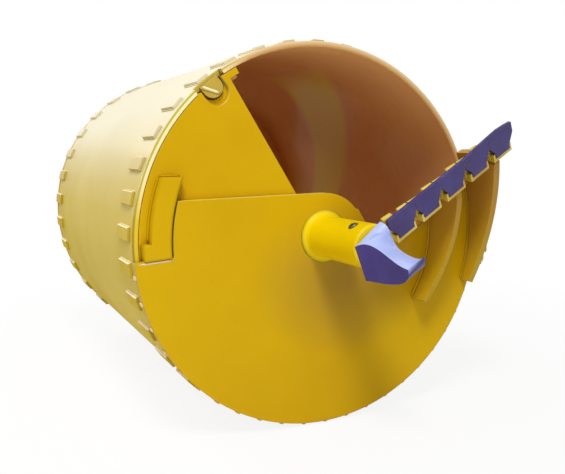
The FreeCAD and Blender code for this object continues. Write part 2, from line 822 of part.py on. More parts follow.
def guard_height(behind):
    """How high the guards stand at a distance behind the tooth row."""
    return f"(TipHeight-GuardDrop-({behind})*tan(GuardSlope))"


def ramp():
    """The sloping plate that lifts the cuttings into the mouth, its end web and the bar that it carries."""
    ahead, out = section("BarRear", BAR_UNDER)
    slope = f"(atan(({out}-{PLATE_FACE})/({ahead}+RampFoot))/1deg)"
    reach = f"RampThickness/sin({slope}-ToothTilt)"
    profile = [
        ("-RampFoot", PLATE_FACE),
        (f"-RampFoot+RampThickness/sin({slope})", PLATE_FACE),
        (f"{ahead}+{reach}*cos(ToothTilt)", f"{out}+{reach}*sin(ToothTilt)"),
        (ahead, out),
    ]
    start = "(WebOffset+WebThickness)"
    slab = prism("ramp_slab", "YZ", profile, f"ShellRadius-{start}", start)
    rim = cylinder("ramp_rim", WING_INNER, "TipHeight")
    node(common("ramp_plate", slab, rim), "ramp_plate", ROW_TURN)

    web = prism("ramp_web", "YZ", [
        ("-RampFoot", PLATE_FACE),
        ("-20", PLATE_FACE),
        section("BarFront", BAR_UNDER),
        section("BarRear", BAR_UNDER),
    ], "WebThickness", "WebOffset")
    node(web, "ramp_web", ROW_TURN)

    bar = prism("bar_blank", "YZ", [
        section("BarFront", BAR_TOP),
        section("BarRear", BAR_TOP),
        section("BarRear", BAR_UNDER),
        section("BarFront", BAR_UNDER),
    ], f"ToothRowStart+4.45*{TOOTH_PITCH}-30", "30")
    post = cylinder("bar_post", "PilotTubeRadius", "TipHeight*2")
    node(cut("cutter_bar", bar, post), "cutter_bar", ROW_TURN)


def guards():
    """The side wing at the rim and the fin in the middle, curved about the tool axis."""
    blank = ring("wing_blank", WING_INNER, f"{WING_INNER}+WingThickness", f"TipHeight-{PLATE_FACE}",
                 PLATE_FACE, "WingEndAngle-WingStartAngle", "WingStartAngle-ToothRowAngle")
    profile = prism("wing_profile", "YZ", [
        ("-500", PLATE_FACE),
        ("-WingFront", PLATE_FACE),
        ("-WingFront", f"{guard_height('WingFront')}-34"),
        ("-WingFront-14", f"{guard_height('WingFront+14')}-20"),
        ("-WingFront-14", guard_height("WingFront+14")),
        ("-500", guard_height("500")),
    ], "ShellRadius*1.2", "0")
    holders = prism("wing_relief", "YZ", [
        section("HolderFront-40", "-2"),
        section("BarRear+0.5", "-2"),
        section("BarRear+0.5", BAR_UNDER),
        section("HolderFront-40", BAR_UNDER),
    ], "ShellRadius", "ShellRadius*0.5")
    wing = common("side_wing", blank, profile)
    node(cut("side_wing", wing, holders), "side_wing", ROW_TURN)

    inner = "(ShellRadius-FinInset)"
    blank = ring("fin_blank", inner, f"{inner}+FinThickness", "TipHeight", PLATE_FACE,
                 "60-FinStartAngle", "FinStartAngle-ToothRowAngle")
    profile = prism("fin_profile", "YZ", [
        ("-500", PLATE_FACE),
        ("-RampFoot", PLATE_FACE),
        section("BarRear", BAR_UNDER),
        section("BarRear", BAR_TOP),
        section("BarRear", "GuardDrop+ToothThickness*0.5"),
        ("-BarRear-8", guard_height("BarRear+8")),
        ("-500", guard_height("500")),
    ], "ShellRadius", "0")
    node(common("middle_fin", blank, profile), "middle_fin", ROW_TURN)


def tooth_place(number):
    reach = size("ShellRadius") + size("CuttingReach") - size("ToothRowStart")
    along = size("ToothRowStart") + number * reach / TOOTH_COUNT
    seat = turn(AXIS_X, 180 + size("ToothTilt"), along, 0, size("TipHeight"))
    return ROW_TURN.multiply(seat)


TANG_BACK = "(ToothLength-2)"
TANG_FRONT = "(ToothLength-2-TangLength)"


def tooth(number):
    """A flat blade: full pitch at the edge, narrow at the root, with a tang underneath.

    The last two are ground with a crown that cuts the bore to gauge.
    """
    body = new_body(f"tooth_{number + 1}")
    drawing = sketch(body, "XY")
    before_last, last = number == TOOTH_COUNT - 2, number == TOOTH_COUNT - 1
    right = [
        (f"{TOOTH_PITCH}-ToothSeam/2", "-GaugeCrown*0.8" if before_last else "0"),
        (f"{TOOTH_PITCH}-ToothSeam/2", "ToothLength*0.4"),
        (f"{TOOTH_PITCH}*0.79", "ToothLength*0.82"),
        (f"{TOOTH_PITCH}*0.79", "ToothLength"),
    ]
    left = [(f"{TOOTH_PITCH}-({across})", back) for across, back in reversed(right)]
    left[-1] = (left[-1][0], "-GaugeCrown*0.8" if last else "0")
    crown = [(f"{TOOTH_PITCH}*0.4", "-GaugeCrown"), (f"{TOOTH_PITCH}*0.7", "-GaugeCrown*0.6")]
    outline(drawing, right + left + (crown if last else []))
    pad(body, drawing, "ToothThickness")
    drawing = sketch(body, "YZ")
    outline(drawing, [
        ("-GaugeCrown-1", "ToothEdge"),
        ("ToothBevel", "ToothThickness"),
        ("ToothBevel", "ToothThickness+1"),
        ("-GaugeCrown-1", "ToothThickness+1"),
    ])
    pocket(body, drawing, f"{TOOTH_PITCH}*2.2", both_ways=True)
    drawing = sketch(body, "XY", "ToothThickness")
    middle = f"{TOOTH_PITCH}/2"
    outline(drawing, rectangle(f"{middle}-TangWidth/2", f"{middle}+TangWidth/2", TANG_FRONT, TANG_BACK))
    pad(body, drawing, "TangDepth")
    drawing = sketch(body, "YZ")
    round_hole(drawing, f"({TANG_FRONT}+{TANG_BACK})/2", "ToothThickness+TangDepth/2", "ToothPinRadius")
    pocket(body, drawing, f"{TOOTH_PITCH}*2.2", both_ways=True)
    node(body, f"tooth_{number + 1}", tooth_place(number))


def tooth_holder(number):
    """The shoe under a blade: a base with a slot for the tang, a back wall and two cheeks."""
    body = new_body(f"tooth_holder_{number + 1}")
    rear = "(ToothLength+HolderLedge)"
    last = number == TOOTH_COUNT - 1
    drawing = sketch(body, "XY", HOLDER_TOP)
    outline(drawing, [
        (f"{TOOTH_PITCH}*0.03", "HolderFront+HolderSkew*1.5" if last else "HolderFront"),
        (f"{TOOTH_PITCH}*0.97", "HolderFront+HolderSkew*1.5" if last else "HolderFront+HolderSkew"),
        (f"{TOOTH_PITCH}*0.97", "ToothLength*0.58"),
        (f"{TOOTH_PITCH}*0.79+CheekWidth", rear),
        (f"{TOOTH_PITCH}*0.21-CheekWidth", rear),
        (f"{TOOTH_PITCH}*0.03", "ToothLength*0.58"),
    ])
    pad(body, drawing, "HolderThickness")
    drawing = sketch(body, "XY", "CheekDrop")
    inner = f"{TOOTH_PITCH}*0.29+TangClearance"
    outer = f"{TOOTH_PITCH}*0.29+CheekWidth"
    middle = f"{TOOTH_PITCH}/2"
    seat = "(ToothLength+TangClearance)"
    front = "(ToothLength*0.82)"
    outline(drawing, [
        (f"{middle}-({outer})", front),
        (f"{middle}-({inner})", front),
        (f"{middle}-({inner})", seat),
        (f"{middle}+{inner}", seat),
        (f"{middle}+{inner}", front),
        (f"{middle}+{outer}", front),
        (f"{middle}+{outer}", rear),
        (f"{middle}-({outer})", rear),
    ])
    pad(body, drawing, "ToothThickness-CheekDrop")
    drawing = sketch(body, "XY", HOLDER_TOP)
    half = "(TangWidth/2+TangClearance)"
    outline(drawing, rectangle(f"{middle}-{half}", f"{middle}+{half}",
                               f"{TANG_FRONT}-TangClearance", f"{TANG_BACK}+TangClearance"))
    pocket(body, drawing, "TangDepth+TangClearance", reverse=True)
    drawing = sketch(body, "YZ")
    round_hole(drawing, f"({TANG_FRONT}+{TANG_BACK})/2", "ToothThickness+TangDepth/2", "ToothPinRadius")
    pocket(body, drawing, f"{TOOTH_PITCH}*2.2", both_ways=True)
    node(body, f"tooth_holder_{number + 1}", tooth_place(number))


def tooth_pins():
    """The cross pin of each tooth, through its holder and tang."""
    body = new_body("tooth_pins")
    drawing = sketch(body, "YZ", f"{TOOTH_PITCH}*0.17")
    round_hole(drawing, f"({TANG_FRONT}+{TANG_BACK})/2", "ToothThickness+TangDepth/2", "ToothPinRadius-0.1")
    one = pad(body, drawing, f"{TOOTH_PITCH}*0.66")
    made = body.newObject("PartDesign::LinearPattern", "tooth_pins_copies")
    made.Originals = [one]
    made.Direction = (next(f for f in body.Origin.OriginFeatures if f.Role == "X_Axis"), [""])
    made.Occurrences = TOOTH_COUNT
    bind(made, "Length", f"{TOOTH_COUNT - 1}*{TOOTH_PITCH}")
    body.Tip = made
    node(body, "tooth_pins", tooth_place(0))


# Pilot


def pilot_holder():
    """The tube on the rotating plate, with its fillet weld, chamfered end and pin hole."""
    weld = "PilotTubeRadius+PilotWeld"
    body = turning("pilot_holder", [
        ("PilotBoreRadius", PLATE_FACE),
        (weld, PLATE_FACE),
        (f"{weld}-PilotWeld*0.55", f"{PLATE_FACE}+PilotWeld*0.18"),
        (f"{weld}-PilotWeld*0.82", f"{PLATE_FACE}+PilotWeld*0.45"),
        ("PilotTubeRadius", f"{PLATE_FACE}+PilotWeld"),
        ("PilotTubeRadius", "PilotTubeEnd-4"),
        ("PilotTubeRadius-4", "PilotTubeEnd"),
        ("PilotBoreRadius", "PilotTubeEnd"),
    ])
    drawing = sketch(body, "YZ")
    round_hole(drawing, "0", "PilotPinHeight", "PilotPinRadius")
    pocket(body, drawing, "PilotTubeRadius*3", both_ways=True)
    node(body, "pilot_holder", turn(AXIS_Z, size("PilotPinAngle")))

    pin = new_body("pilot_pin")
    drawing = sketch(pin, "YZ")
    round_hole(drawing, "0", "PilotPinHeight", "PilotPinRadius-0.1")
    pad(pin, drawing, "PilotTubeRadius*2-6", both_ways=True)
    node(pin, "pilot_pin", turn(AXIS_Z, size("PilotPinAngle")))


def pilot_bit():
    """The single hooked wing: a claw lofted from a high ridge on its left to a deep scoop on its right."""
    width = size("BitWidth")
    reach = size("BitReach")
    end = size("PilotTubeEnd")

    def left(ahead, out):
        """A point of the left face, which leans to the right as it rises."""
        along = -0.5 * width + 0.213 * (ahead * width - 0.376 * width) + 0.461 * out * reach
        return FreeCAD.Vector(along, ahead * width, end + out * reach)

    def right(ahead, out):
        return FreeCAD.Vector(0.5 * width, ahead * width, end + out * reach)

    def curve(points):
        spline = Part.BSplineCurve()
        spline.interpolate(points)
        return spline.toShape()

    def face_edges(top, belly):
        """The closed edge of one face: over the top to the nose, back under the belly, and the base."""
        return Part.Wire([curve(top), curve(belly), Part.makeLine(belly[-1], top[0])])

    nose, heel = left(-0.45, 1), left(-0.6, 0)
    ridge = face_edges([left(0.38, 0), left(0.27, 0.44), left(-0.04, 0.66), nose],
                       [nose, left(-0.74, 0.9), left(-0.78, 0.5), heel])
    tip, heel = right(-0.46, 1), right(-0.8, 0)
    scoop = face_edges([right(0.5, 0), right(0.36, 0.18), right(-0.29, 0.13), right(-0.58, 0.5), tip],
                       [tip, right(-0.82, 0.8), right(-1, 0.45), heel])
    claw = Part.makeLoft([ridge, scoop], True, True)
    shank_radius = size("PilotBoreRadius") - size("ShankGap")
    below = FreeCAD.Vector(0, 0, end - size("ShankLength"))
    shank = Part.makeCylinder(shank_radius, size("ShankLength") + 0.2 * reach, below)
    angle = math.radians(size("PilotPinAngle") - size("ToothRowAngle"))
    across = FreeCAD.Vector(math.cos(angle), math.sin(angle), 0)
    reach_out = 2 * size("PilotTubeRadius")
    start = FreeCAD.Vector(0, 0, size("PilotPinHeight")) - across * reach_out
    hole = Part.makeCylinder(size("PilotPinRadius"), 2 * reach_out, start, across)
    trimmed = shank.fuse(claw).removeSplitter().cut(hole)
    bit = doc.addObject("Part::Feature", "pilot_bit")
    bit.Shape = trimmed
    node(bit, "pilot_bit", ROW_TURN)


# Latch: a hook under the notch, and the rod that a plate above the bucket pushes down to draw it back.
# Their sections are drawn by the distance from the tool axis and the height.

LATCH_TURN = turn(AXIS_Z, size("NotchAngle"))
LATCH_PIVOT = "(ShellRadius-ShellWall-LatchPivotInset)"
ROD_RADIUS = f"({LATCH_PIVOT}-HookTail*(1+cos(HookThrow))/2)"
LINK_HEIGHT = "(HookTail*sin(HookThrow)-LatchPivotDepth)"


def latch_pivot():
    return size("ShellRadius") - size("ShellWall") - size("LatchPivotInset")


def latch_hook():
    """The hook, modelled closed over the flap's ledge and placed drawn back."""
    body = new_body("latch_hook")
    drawing = sketch(body, "XZ")
    high = "(LatchPivotDepth-HookTopGap)"
    low = "(LatchPivotDepth-LedgeThickness+HookNoseGap)"
    outline(drawing, [
        ("-HookTail-LinkPinRadius-9", "-11"),
        ("0", "-HookEyeRadius*0.9"),
        ("HookArmOuter", "0"),
        ("HookArmOuter", high),
        ("-HookNose+10", high),
        ("-HookNose+10", low),
        ("HookArmInner-1.5", low),
        ("HookArmInner", f"{low}-8"),
        ("HookArmInner", "HookEyeRadius"),
        ("-HookEyeRadius", "11"),
        ("-HookTail-LinkPinRadius-9", "11"),
    ])
    pad(body, drawing, "HookThickness", both_ways=True)
    half = "HookNoseWidth/2"
    drawing = sketch(body, "XY", low)
    outline(drawing, rectangle(f"-HookNose+{half}", "HookNoseOuter", f"-{half}", half))
    pad(body, drawing, f"{high}-{low}")
    drawing = sketch(body, "XY", low)
    round_hole(drawing, f"-HookNose+{half}", "0", half)
    pad(body, drawing, f"{high}-{low}")
    drawing = sketch(body, "XY", low)
    outline(drawing, rectangle("HookNoseOuter", "HookNoseOuter+HookNoseWidth", "-HookNoseWidth", "HookNoseWidth"))
    pocket(body, drawing, f"{high}-{low}", reverse=True)
    drawing = sketch(body, "XY", high)
    outline(drawing, [
        ("-HookNose+4", "-HookRidgeWidth"),
        ("HookNoseOuter", f"{half}-HookRidgeWidth"),
        ("HookNoseOuter", half),
        ("HookNoseOuter-HookRidgeWidth/2", half),
        ("-HookNose+4", "0"),
    ])
    pad(body, drawing, "HookRidge")
    drawing = sketch(body, "XZ")
    round_hole(drawing, "0", "0", "HookEyeRadius")
    pad(body, drawing, "HookThickness", both_ways=True)
    drawing = sketch(body, "XZ")
    round_hole(drawing, "0", "0", "LatchPinRadius+LatchRunningGap")
    pocket(body, drawing, "HookThickness+4", both_ways=True)
    drawing = sketch(body, "XZ")
    slot = "LinkPinRadius+0.2"
    outline(drawing, rectangle(f"-HookTail-{slot}-LinkSlotPlay", f"-HookTail+{slot}+LinkSlotPlay",
                               f"-({slot})", slot))
    pocket(body, drawing, "HookThickness+4", both_ways=True)
    pivot = turn(AXIS_Y, size("HookThrow"), latch_pivot(), 0, -size("LatchPivotDepth"))
    node(body, "latch_hook", LATCH_TURN.multiply(pivot))


def latch_cheeks():
    """Two plates on the shell's inside that carry the hook's pivot pin."""
    cheeks = []
    for name, side in (("ahead", -1), ("behind", 1)):
        body = new_body(f"latch_cheek_{name}")
        middle = f"{side}*(HookThickness/2+CheekGap+CheekThickness/2)"
        drawing = sketch(body, "XZ", middle)
        outline(drawing, [
            (f"{LATCH_PIVOT}-HookEyeRadius-4", "-LatchPivotDepth-30"),
            ("ShellRadius", "-LatchPivotDepth-55"),
            ("ShellRadius", "-LatchPivotDepth+45"),
            (f"{LATCH_PIVOT}+8", "-LatchPivotDepth+34"),
            (f"{LATCH_PIVOT}-HookEyeRadius-4", "-LatchPivotDepth+16"),
        ])
        pad(body, drawing, "CheekThickness", both_ways=True)
        drawing = sketch(body, "XZ", middle)
        round_hole(drawing, LATCH_PIVOT, "-LatchPivotDepth", "LatchPinRadius")
        pocket(body, drawing, "CheekThickness+4", both_ways=True)
        cheeks.append(body)
    blank = fuse("latch_cheek_pair", *cheeks)
    bound = cylinder("latch_bound", INSIDE_RADIUS, "ShellLength", "-ShellLength")
    node(common("latch_cheeks", blank, bound), "latch_cheeks", LATCH_TURN)

    pin = new_body("latch_pivot_pin")
    drawing = sketch(pin, "XZ")
    round_hole(drawing, LATCH_PIVOT, "-LatchPivotDepth", "LatchPinRadius")
    pad(pin, drawing, "HookThickness+2*CheekGap+2*CheekThickness+6", both_ways=True)
    node(pin, "latch_pivot_pin", LATCH_TURN)


def on_rod(body, z, length, radius):
    """A round pad on the rod's axis."""
    drawing = sketch(body, "XY", z)
    round_hole(drawing, ROD_RADIUS, "0", radius)
    pad(body, drawing, length)


def release_rod():
    """The push rod with its fork, link pin, spring and trigger plate."""
    trigger_seat = f"({TOP_FACE}-SpringLength)"
    fork_top = f"({LINK_HEIGHT}+LinkPinRadius+8)"
    rod = new_body("push_rod")
    on_rod(rod, trigger_seat, f"{fork_top}-ForkLength+2-{trigger_seat}", "RodRadius")
    drawing = sketch(rod, "XY", f"{fork_top}-ForkLength")
    outline(drawing, rectangle(f"{ROD_RADIUS}-ForkDepth/2", f"{ROD_RADIUS}+ForkDepth/2",
                               "-ForkWidth/2", "ForkWidth/2"))
    pad(rod, drawing, "ForkLength")
    drawing = sketch(rod, "XZ")
    outline(drawing, rectangle(f"{ROD_RADIUS}-ForkDepth", f"{ROD_RADIUS}+ForkDepth",
                               f"{fork_top}-ForkLength+14", f"{fork_top}+2"))
    pocket(rod, drawing, "HookThickness+2*CheekGap", both_ways=True)
    drawing = sketch(rod, "XZ")
    round_hole(drawing, ROD_RADIUS, LINK_HEIGHT, "LinkPinRadius")
    pocket(rod, drawing, "ForkWidth+4", both_ways=True)
    node(rod, "push_rod", LATCH_TURN)

    pin = new_body("link_pin")
    drawing = sketch(pin, "XZ")
    round_hole(drawing, ROD_RADIUS, LINK_HEIGHT, "LinkPinRadius")
    pad(pin, drawing, "ForkWidth+2", both_ways=True)
    node(pin, "link_pin", LATCH_TURN)

    plate = new_body("trigger_plate")
    drawing = sketch(plate, "XY", f"{trigger_seat}-TriggerThickness")
    outer = f"({ROD_RADIUS}+45)"
    outline(drawing, [
        (f"{outer}-TriggerLength", "-TriggerWidth*0.3"),
        (f"{outer}-30", "-TriggerWidth/2"),
        (outer, "-TriggerWidth/2+30"),
        (outer, "TriggerWidth/2-30"),
        (f"{outer}-30", "TriggerWidth/2"),
        (f"{outer}-TriggerLength", "TriggerWidth*0.3"),
    ])
    pad(plate, drawing, "TriggerThickness")
    node(plate, "trigger_plate", LATCH_TURN)

    collar = new_body("spring_collar")
    drawing = sketch(collar, "XY", trigger_seat)
    round_hole(drawing, ROD_RADIUS, "0", "SpringRadius+SpringWire")
    round_hole(drawing, ROD_RADIUS, "0", "RodRadius")
    pad(collar, drawing, "SpringWire*2")
    node(collar, "spring_collar", LATCH_TURN)


def rod_spring():
    """The coil spring between the top plate and the rod's collar."""
    wire = size("SpringWire")
    low = -size("ShellLength") - size("TopPlateThickness") - size("SpringLength") + 2.5 * wire
    length = size("SpringLength") - 3 * wire
    coil_radius = size("SpringRadius")
    path = Part.makeHelix(length / size("SpringTurns"), length, coil_radius)
    corners = [FreeCAD.Vector(coil_radius + x * wire / 2, 0, z * wire / 2)
               for x, z in ((-1, -1), (1, -1), (1, 1), (-1, 1), (-1, -1))]
    coil = Part.Wire(path).makePipeShell([Part.makePolygon(corners)], True, True)
    spring = doc.addObject("Part::Feature", "rod_spring")
    spring.Shape = coil
    hook_tail = size("HookTail") * (1 + math.cos(math.radians(size("HookThrow")))) / 2
    seat = turn(AXIS_Z, 0, latch_pivot() - hook_tail, 0, low)
    node(spring, "rod_spring", LATCH_TURN.multiply(seat))


def rod_housing():
    """Three guides on the shell's inside and the channel that keeps soil off the rod."""
    bound = cylinder("guide_bound", INSIDE_RADIUS, "ShellLength", "-ShellLength")
    guides = []
    for number in range(3):
        body = new_body(f"guide_blank_{number}")
        z = f"-ShellLength*{0.22 + 0.33 * number}"
        drawing = sketch(body, "XY", z)
        outline(drawing, rectangle(f"{ROD_RADIUS}-RodRadius-8", "ShellRadius", "-GuideWidth/2", "GuideWidth/2"))
        pad(body, drawing, "GuideLength")
        drawing = sketch(body, "XY", z)
        round_hole(drawing, ROD_RADIUS, "0", "RodRadius+LatchRunningGap")
        pocket(body, drawing, "GuideLength", reverse=True)
        guides.append(body)
    blank = fuse("guide_set", *guides)
    node(common("rod_guides", blank, bound), "rod_guides", LATCH_TURN)

    inner = "(GuardStandoff-GuardWall)"
    body = new_body("guard_blank")
    drawing = sketch(body, "XY", "-ShellLength+5")
    half = "GuardWidth/2"
    outline(drawing, [
        ("ShellRadius", f"-{half}"),
        (f"{INSIDE_RADIUS}-GuardStandoff", f"-{half}"),
        (f"{INSIDE_RADIUS}-GuardStandoff", half),
        ("ShellRadius", half),
        ("ShellRadius", f"{half}-GuardWall"),
        (f"{INSIDE_RADIUS}-{inner}", f"{half}-GuardWall"),
        (f"{INSIDE_RADIUS}-{inner}", f"GuardWall-{half}"),
        ("ShellRadius", f"GuardWall-{half}"),
    ])
    pad(body, drawing, "ShellLength-185")
    bound = cylinder("guard_bound", INSIDE_RADIUS, "ShellLength", "-ShellLength")
    node(common("rod_guard", body, bound), "rod_guard", LATCH_TURN)


def build():
    shell()
    top_plate()
    flap_stops()
    wear_rings()
    kelly_box()
    inner_plate()
    stop_lug()
    flap_pivot()
    flap_ribs()
    hinge()
    rotating_plate()
    rim_beads()
    kingpin()
    ramp()
    guards()
    for number in range(TOOTH_COUNT):
        tooth_holder(number)
        tooth(number)
    tooth_pins()
    pilot_holder()
    pilot_bit()
    latch_hook()
    latch_cheeks()
    release_rod()
    rod_spring()
    rod_housing()
    doc.recompute()


def check_and_export():
    """Stops on any failed object or unsound shape, then writes each piece."""
    for thing in doc.Objects:
        if "Invalid" in thing.State or "Error" in thing.State:
            raise RuntimeError(f"{thing.Name} failed: {thing.State}")
    os.makedirs("parts", exist_ok=True)
    mass = 0
    for thing in NODES:
        shape = thing.Shape
        if shape.isNull() or not shape.isValid() or not shape.Solids:
            raise RuntimeError(f"{thing.Label} has no sound solid")
        mass += shape.Volume * 7.85e-6
        print(f"{thing.Label}: {len(shape.Solids)} solids, {shape.Volume * 7.85e-6:.1f} kg of steel")
        shape.exportStep(f"parts/{thing.Label}.step")
    print(f"{len(NODES)} pieces, {mass:.0f} kg")


build()
check_and_export()
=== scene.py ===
# %% [markdown]
# A drilling bucket is the tool that a rotary rig turns to dig the shaft of a bored pile. This one lies on
# its side on a pale studio floor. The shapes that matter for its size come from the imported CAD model, so
# the lesson starts by loading that. What Blender adds is what a welder, a painter and the ground leave
# behind: beads, bumps, gloss and wear.

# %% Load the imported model
import json
import math

import bmesh
import bpy
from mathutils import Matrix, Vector


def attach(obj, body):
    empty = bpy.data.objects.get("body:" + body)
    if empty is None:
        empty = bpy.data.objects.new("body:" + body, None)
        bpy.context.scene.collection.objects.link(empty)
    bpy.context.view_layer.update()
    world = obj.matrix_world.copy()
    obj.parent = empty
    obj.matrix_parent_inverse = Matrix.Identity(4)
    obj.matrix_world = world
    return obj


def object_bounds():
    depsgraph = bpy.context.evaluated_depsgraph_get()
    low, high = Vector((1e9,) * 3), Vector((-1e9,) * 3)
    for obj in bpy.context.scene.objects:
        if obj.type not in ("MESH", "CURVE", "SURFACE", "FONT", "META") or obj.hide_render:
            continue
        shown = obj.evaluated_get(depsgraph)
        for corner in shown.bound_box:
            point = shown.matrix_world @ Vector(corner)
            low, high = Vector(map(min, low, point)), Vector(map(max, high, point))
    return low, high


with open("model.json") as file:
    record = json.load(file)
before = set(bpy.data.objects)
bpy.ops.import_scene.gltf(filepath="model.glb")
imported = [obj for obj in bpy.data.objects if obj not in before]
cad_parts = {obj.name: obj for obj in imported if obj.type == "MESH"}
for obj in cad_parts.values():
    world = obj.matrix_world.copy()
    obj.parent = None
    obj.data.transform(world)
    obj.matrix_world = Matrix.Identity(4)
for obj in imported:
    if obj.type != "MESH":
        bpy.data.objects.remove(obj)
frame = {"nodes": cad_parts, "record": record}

nodes = frame["nodes"]
cad_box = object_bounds()
print("CAD nodes:", len(nodes), "box:", [tuple(round(c, 3) for c in corner) for corner in cad_box])

# %% [markdown]
# Everything on a bucket is placed round its own axis, so it helps to think in the tool's frame: x to the
# right, y up and z out of the mouth, with the rim of the barrel at zero. The model has its origin 150 mm
# past the top plate, at the centre of the pin that holds the bucket on the kelly bar. Lengths in this
# lesson are in millimetres. One could write metres in the model's own axes instead, but then no number
# would match a drawing.

# %% Main sizes of the bucket
SHELL_RADIUS = 550
SHELL_INSIDE = 534
SHELL_LENGTH = 1300
TOP_FACE = -SHELL_LENGTH - 25
RIM_TO_ORIGIN = 150 - TOP_FACE
FLAP_UNDER = -25
PLATE_FACE = 28.6
LATCH_ANGLE = 128.2
TOOTH_ROW_ANGLE = 33
TOOTH_TILT = 17
TIP_HEIGHT = 220
ROW_START = 102
TOOTH_PITCH = (SHELL_RADIUS + 49.5 - ROW_START) / 5
print("tooth pitch:", TOOTH_PITCH, "mm, rim to origin:", RIM_TO_ORIGIN, "mm")

# %% Points in the tool's frame


def at(x, y, z):
    """A point of the model, in metres, from the tool's frame in millimetres."""
    return Vector((x, -z - RIM_TO_ORIGIN, y)) / 1000


def way(x, y, z):
    """A direction of the model from one in the tool's frame."""
    return Vector((x, -z, y)).normalized()


def around(radius, angle, z):
    """A point at an angle round the bucket's axis."""
    a = math.radians(angle)
    return at(radius * math.cos(a), radius * math.sin(a), z)


def outward(angle):
    """The direction away from the axis at an angle."""
    a = math.radians(angle)
    return way(math.cos(a), math.sin(a), 0)


def along_row(along, ahead, out):
    """A point by its place along the tooth row, ahead of it, and out of the mouth."""
    a = math.radians(TOOTH_ROW_ANGLE)
    return at(along * math.cos(a) - ahead * math.sin(a), along * math.sin(a) + ahead * math.cos(a), out)


OUT_OF_MOUTH = way(0, 0, 1)
INTO_BARREL = way(0, 0, -1)
print("rim centre:", tuple(at(0, 0, 0)))

# %% [markdown]
# The bucket is thick steel plate under enamel. A finish could be painted on as an image, but an image has a
# fixed sharpness and needs unwrapped faces. Nodes work it out from the place on the object, so it is sharp
# from any distance. This first kit makes a material and adds single nodes to it.

# %% A material and its nodes


def new_material(name, roughness=0.35, metallic=0.0, coat=0.0, specular=0.5):
    """A material with a Principled shader. Constants go straight on the shader's own sockets."""
    material = bpy.data.materials.new(name)
    material.use_nodes = True
    tree = material.node_tree
    shader = tree.nodes["Principled BSDF"]
    shader.inputs["Roughness"].default_value = roughness
    shader.inputs["Metallic"].default_value = metallic
    shader.inputs["Coat Weight"].default_value = coat
    shader.inputs["Coat Roughness"].default_value = 0.2
    shader.inputs["Specular IOR Level"].default_value = specular
    return material, tree, shader


def node(tree, kind, **inputs):
    """A shader node with its input values set by name."""
    made = tree.nodes.new("ShaderNode" + kind)
    for name, value in inputs.items():
        made.inputs[name].default_value = value
    return made


def fill(tree, socket, value):
    """Links a socket to another one, or sets it to a number or a colour."""
    if isinstance(value, bpy.types.NodeSocket):
        tree.links.new(value, socket)
    elif isinstance(value, tuple):
        socket.default_value = (*value, 1)
    else:
        socket.default_value = value


print("kit: new_material, node, fill")

# %% [markdown]
# Wear and dirt are patterns, and a pattern is a little arithmetic on a place. Noise gives a value at each
# place, a ramp turns the value into a mask or a colour, and a mix lays one colour over another by that
# mask.

# %% Noise, ramps, mixes and sums


def noise(tree, place, scale, detail=3.0, stretch=(1, 1, 1)):
    """Noise in the object's own space, stretched if asked."""
    mapping = node(tree, "Mapping", Scale=stretch)
    tree.links.new(place.outputs["Object"], mapping.inputs["Vector"])
    made = node(tree, "TexNoise", Scale=scale, Detail=detail)
    tree.links.new(mapping.outputs["Vector"], made.inputs["Vector"])
    return made.outputs["Fac"]


def ramp(tree, value, *stops):
    """A colour ramp from (position, grey or colour) stops."""
    made = tree.nodes.new("ShaderNodeValToRGB")
    tree.links.new(value, made.inputs["Fac"])
    band = made.color_ramp
    while len(band.elements) < len(stops):
        band.elements.new(0.5)
    for element, (position, colour) in zip(band.elements, stops):
        element.position = position
        element.color = (*colour, 1) if isinstance(colour, tuple) else (colour, colour, colour, 1)
    return made.outputs["Color"]


def mix(tree, how_much, first, second):
    """Two colours mixed by a factor, each a socket or a plain colour."""
    made = tree.nodes.new("ShaderNodeMix")
    made.data_type = "RGBA"
    fill(tree, made.inputs[0], how_much)
    fill(tree, made.inputs[6], first)
    fill(tree, made.inputs[7], second)
    return made.outputs[2]


def calculate(tree, operation, first, second=0.0):
    """One step of arithmetic on sockets or numbers."""
    made = tree.nodes.new("ShaderNodeMath")
    made.operation = operation
    fill(tree, made.inputs[0], first)
    fill(tree, made.inputs[1], second)
    return made.outputs[0]


def plus(tree, first, second):
    """The sum of two sockets or numbers."""
    return calculate(tree, "ADD", first, second)


def times(tree, first, second):
    """The product of two sockets or numbers."""
    return calculate(tree, "MULTIPLY", first, second)


print("kit: noise, ramp, mix, calculate")

# %% [markdown]
# A stain sits at a place, and bleaching hits the faces that look at the sky. Both are questions to a
# vector: what are its parts, how far does it go along some direction, how long is it? Separate XYZ and a
# dot product answer them.

# %% Questions to a vector


def parts(tree, vector):
    """The x, y and z of a vector socket."""
    made = tree.nodes.new("ShaderNodeSeparateXYZ")
    tree.links.new(vector, made.inputs[0])
    return made.outputs["X"], made.outputs["Y"], made.outputs["Z"]


def toward(tree, vector, direction):
    """How far a vector socket goes along a direction."""
    made = tree.nodes.new("ShaderNodeVectorMath")
    made.operation = "DOT_PRODUCT"
    made.inputs[1].default_value = direction
    tree.links.new(vector, made.inputs[0])
    return made.outputs["Value"]


def distance(tree, first, second):
    """How far a place is from an axis, from the two coordinates across it."""
    squares = plus(tree, times(tree, first, first), times(tree, second, second))
    return calculate(tree, "SQRT", squares)


def repaint(material, how_much, colour):
    """Lays a colour over a finished material by a mask."""
    tree = material.node_tree
    socket = tree.nodes["Principled BSDF"].inputs["Base Color"]
    tree.links.new(mix(tree, how_much, socket.links[0].from_socket, colour), socket)


print("kit: parts, toward, distance, repaint")

# %% [markdown]
# Flame-cut plate has hard edges, but paint rounds them and rubs off there first. Modelled bevels would
# change the CAD mesh, which has to stay as it is. The Bevel node rounds an edge in the shading alone, and
# comparing its normal with the true one finds the edges.

# %% Rounded edges and bumps


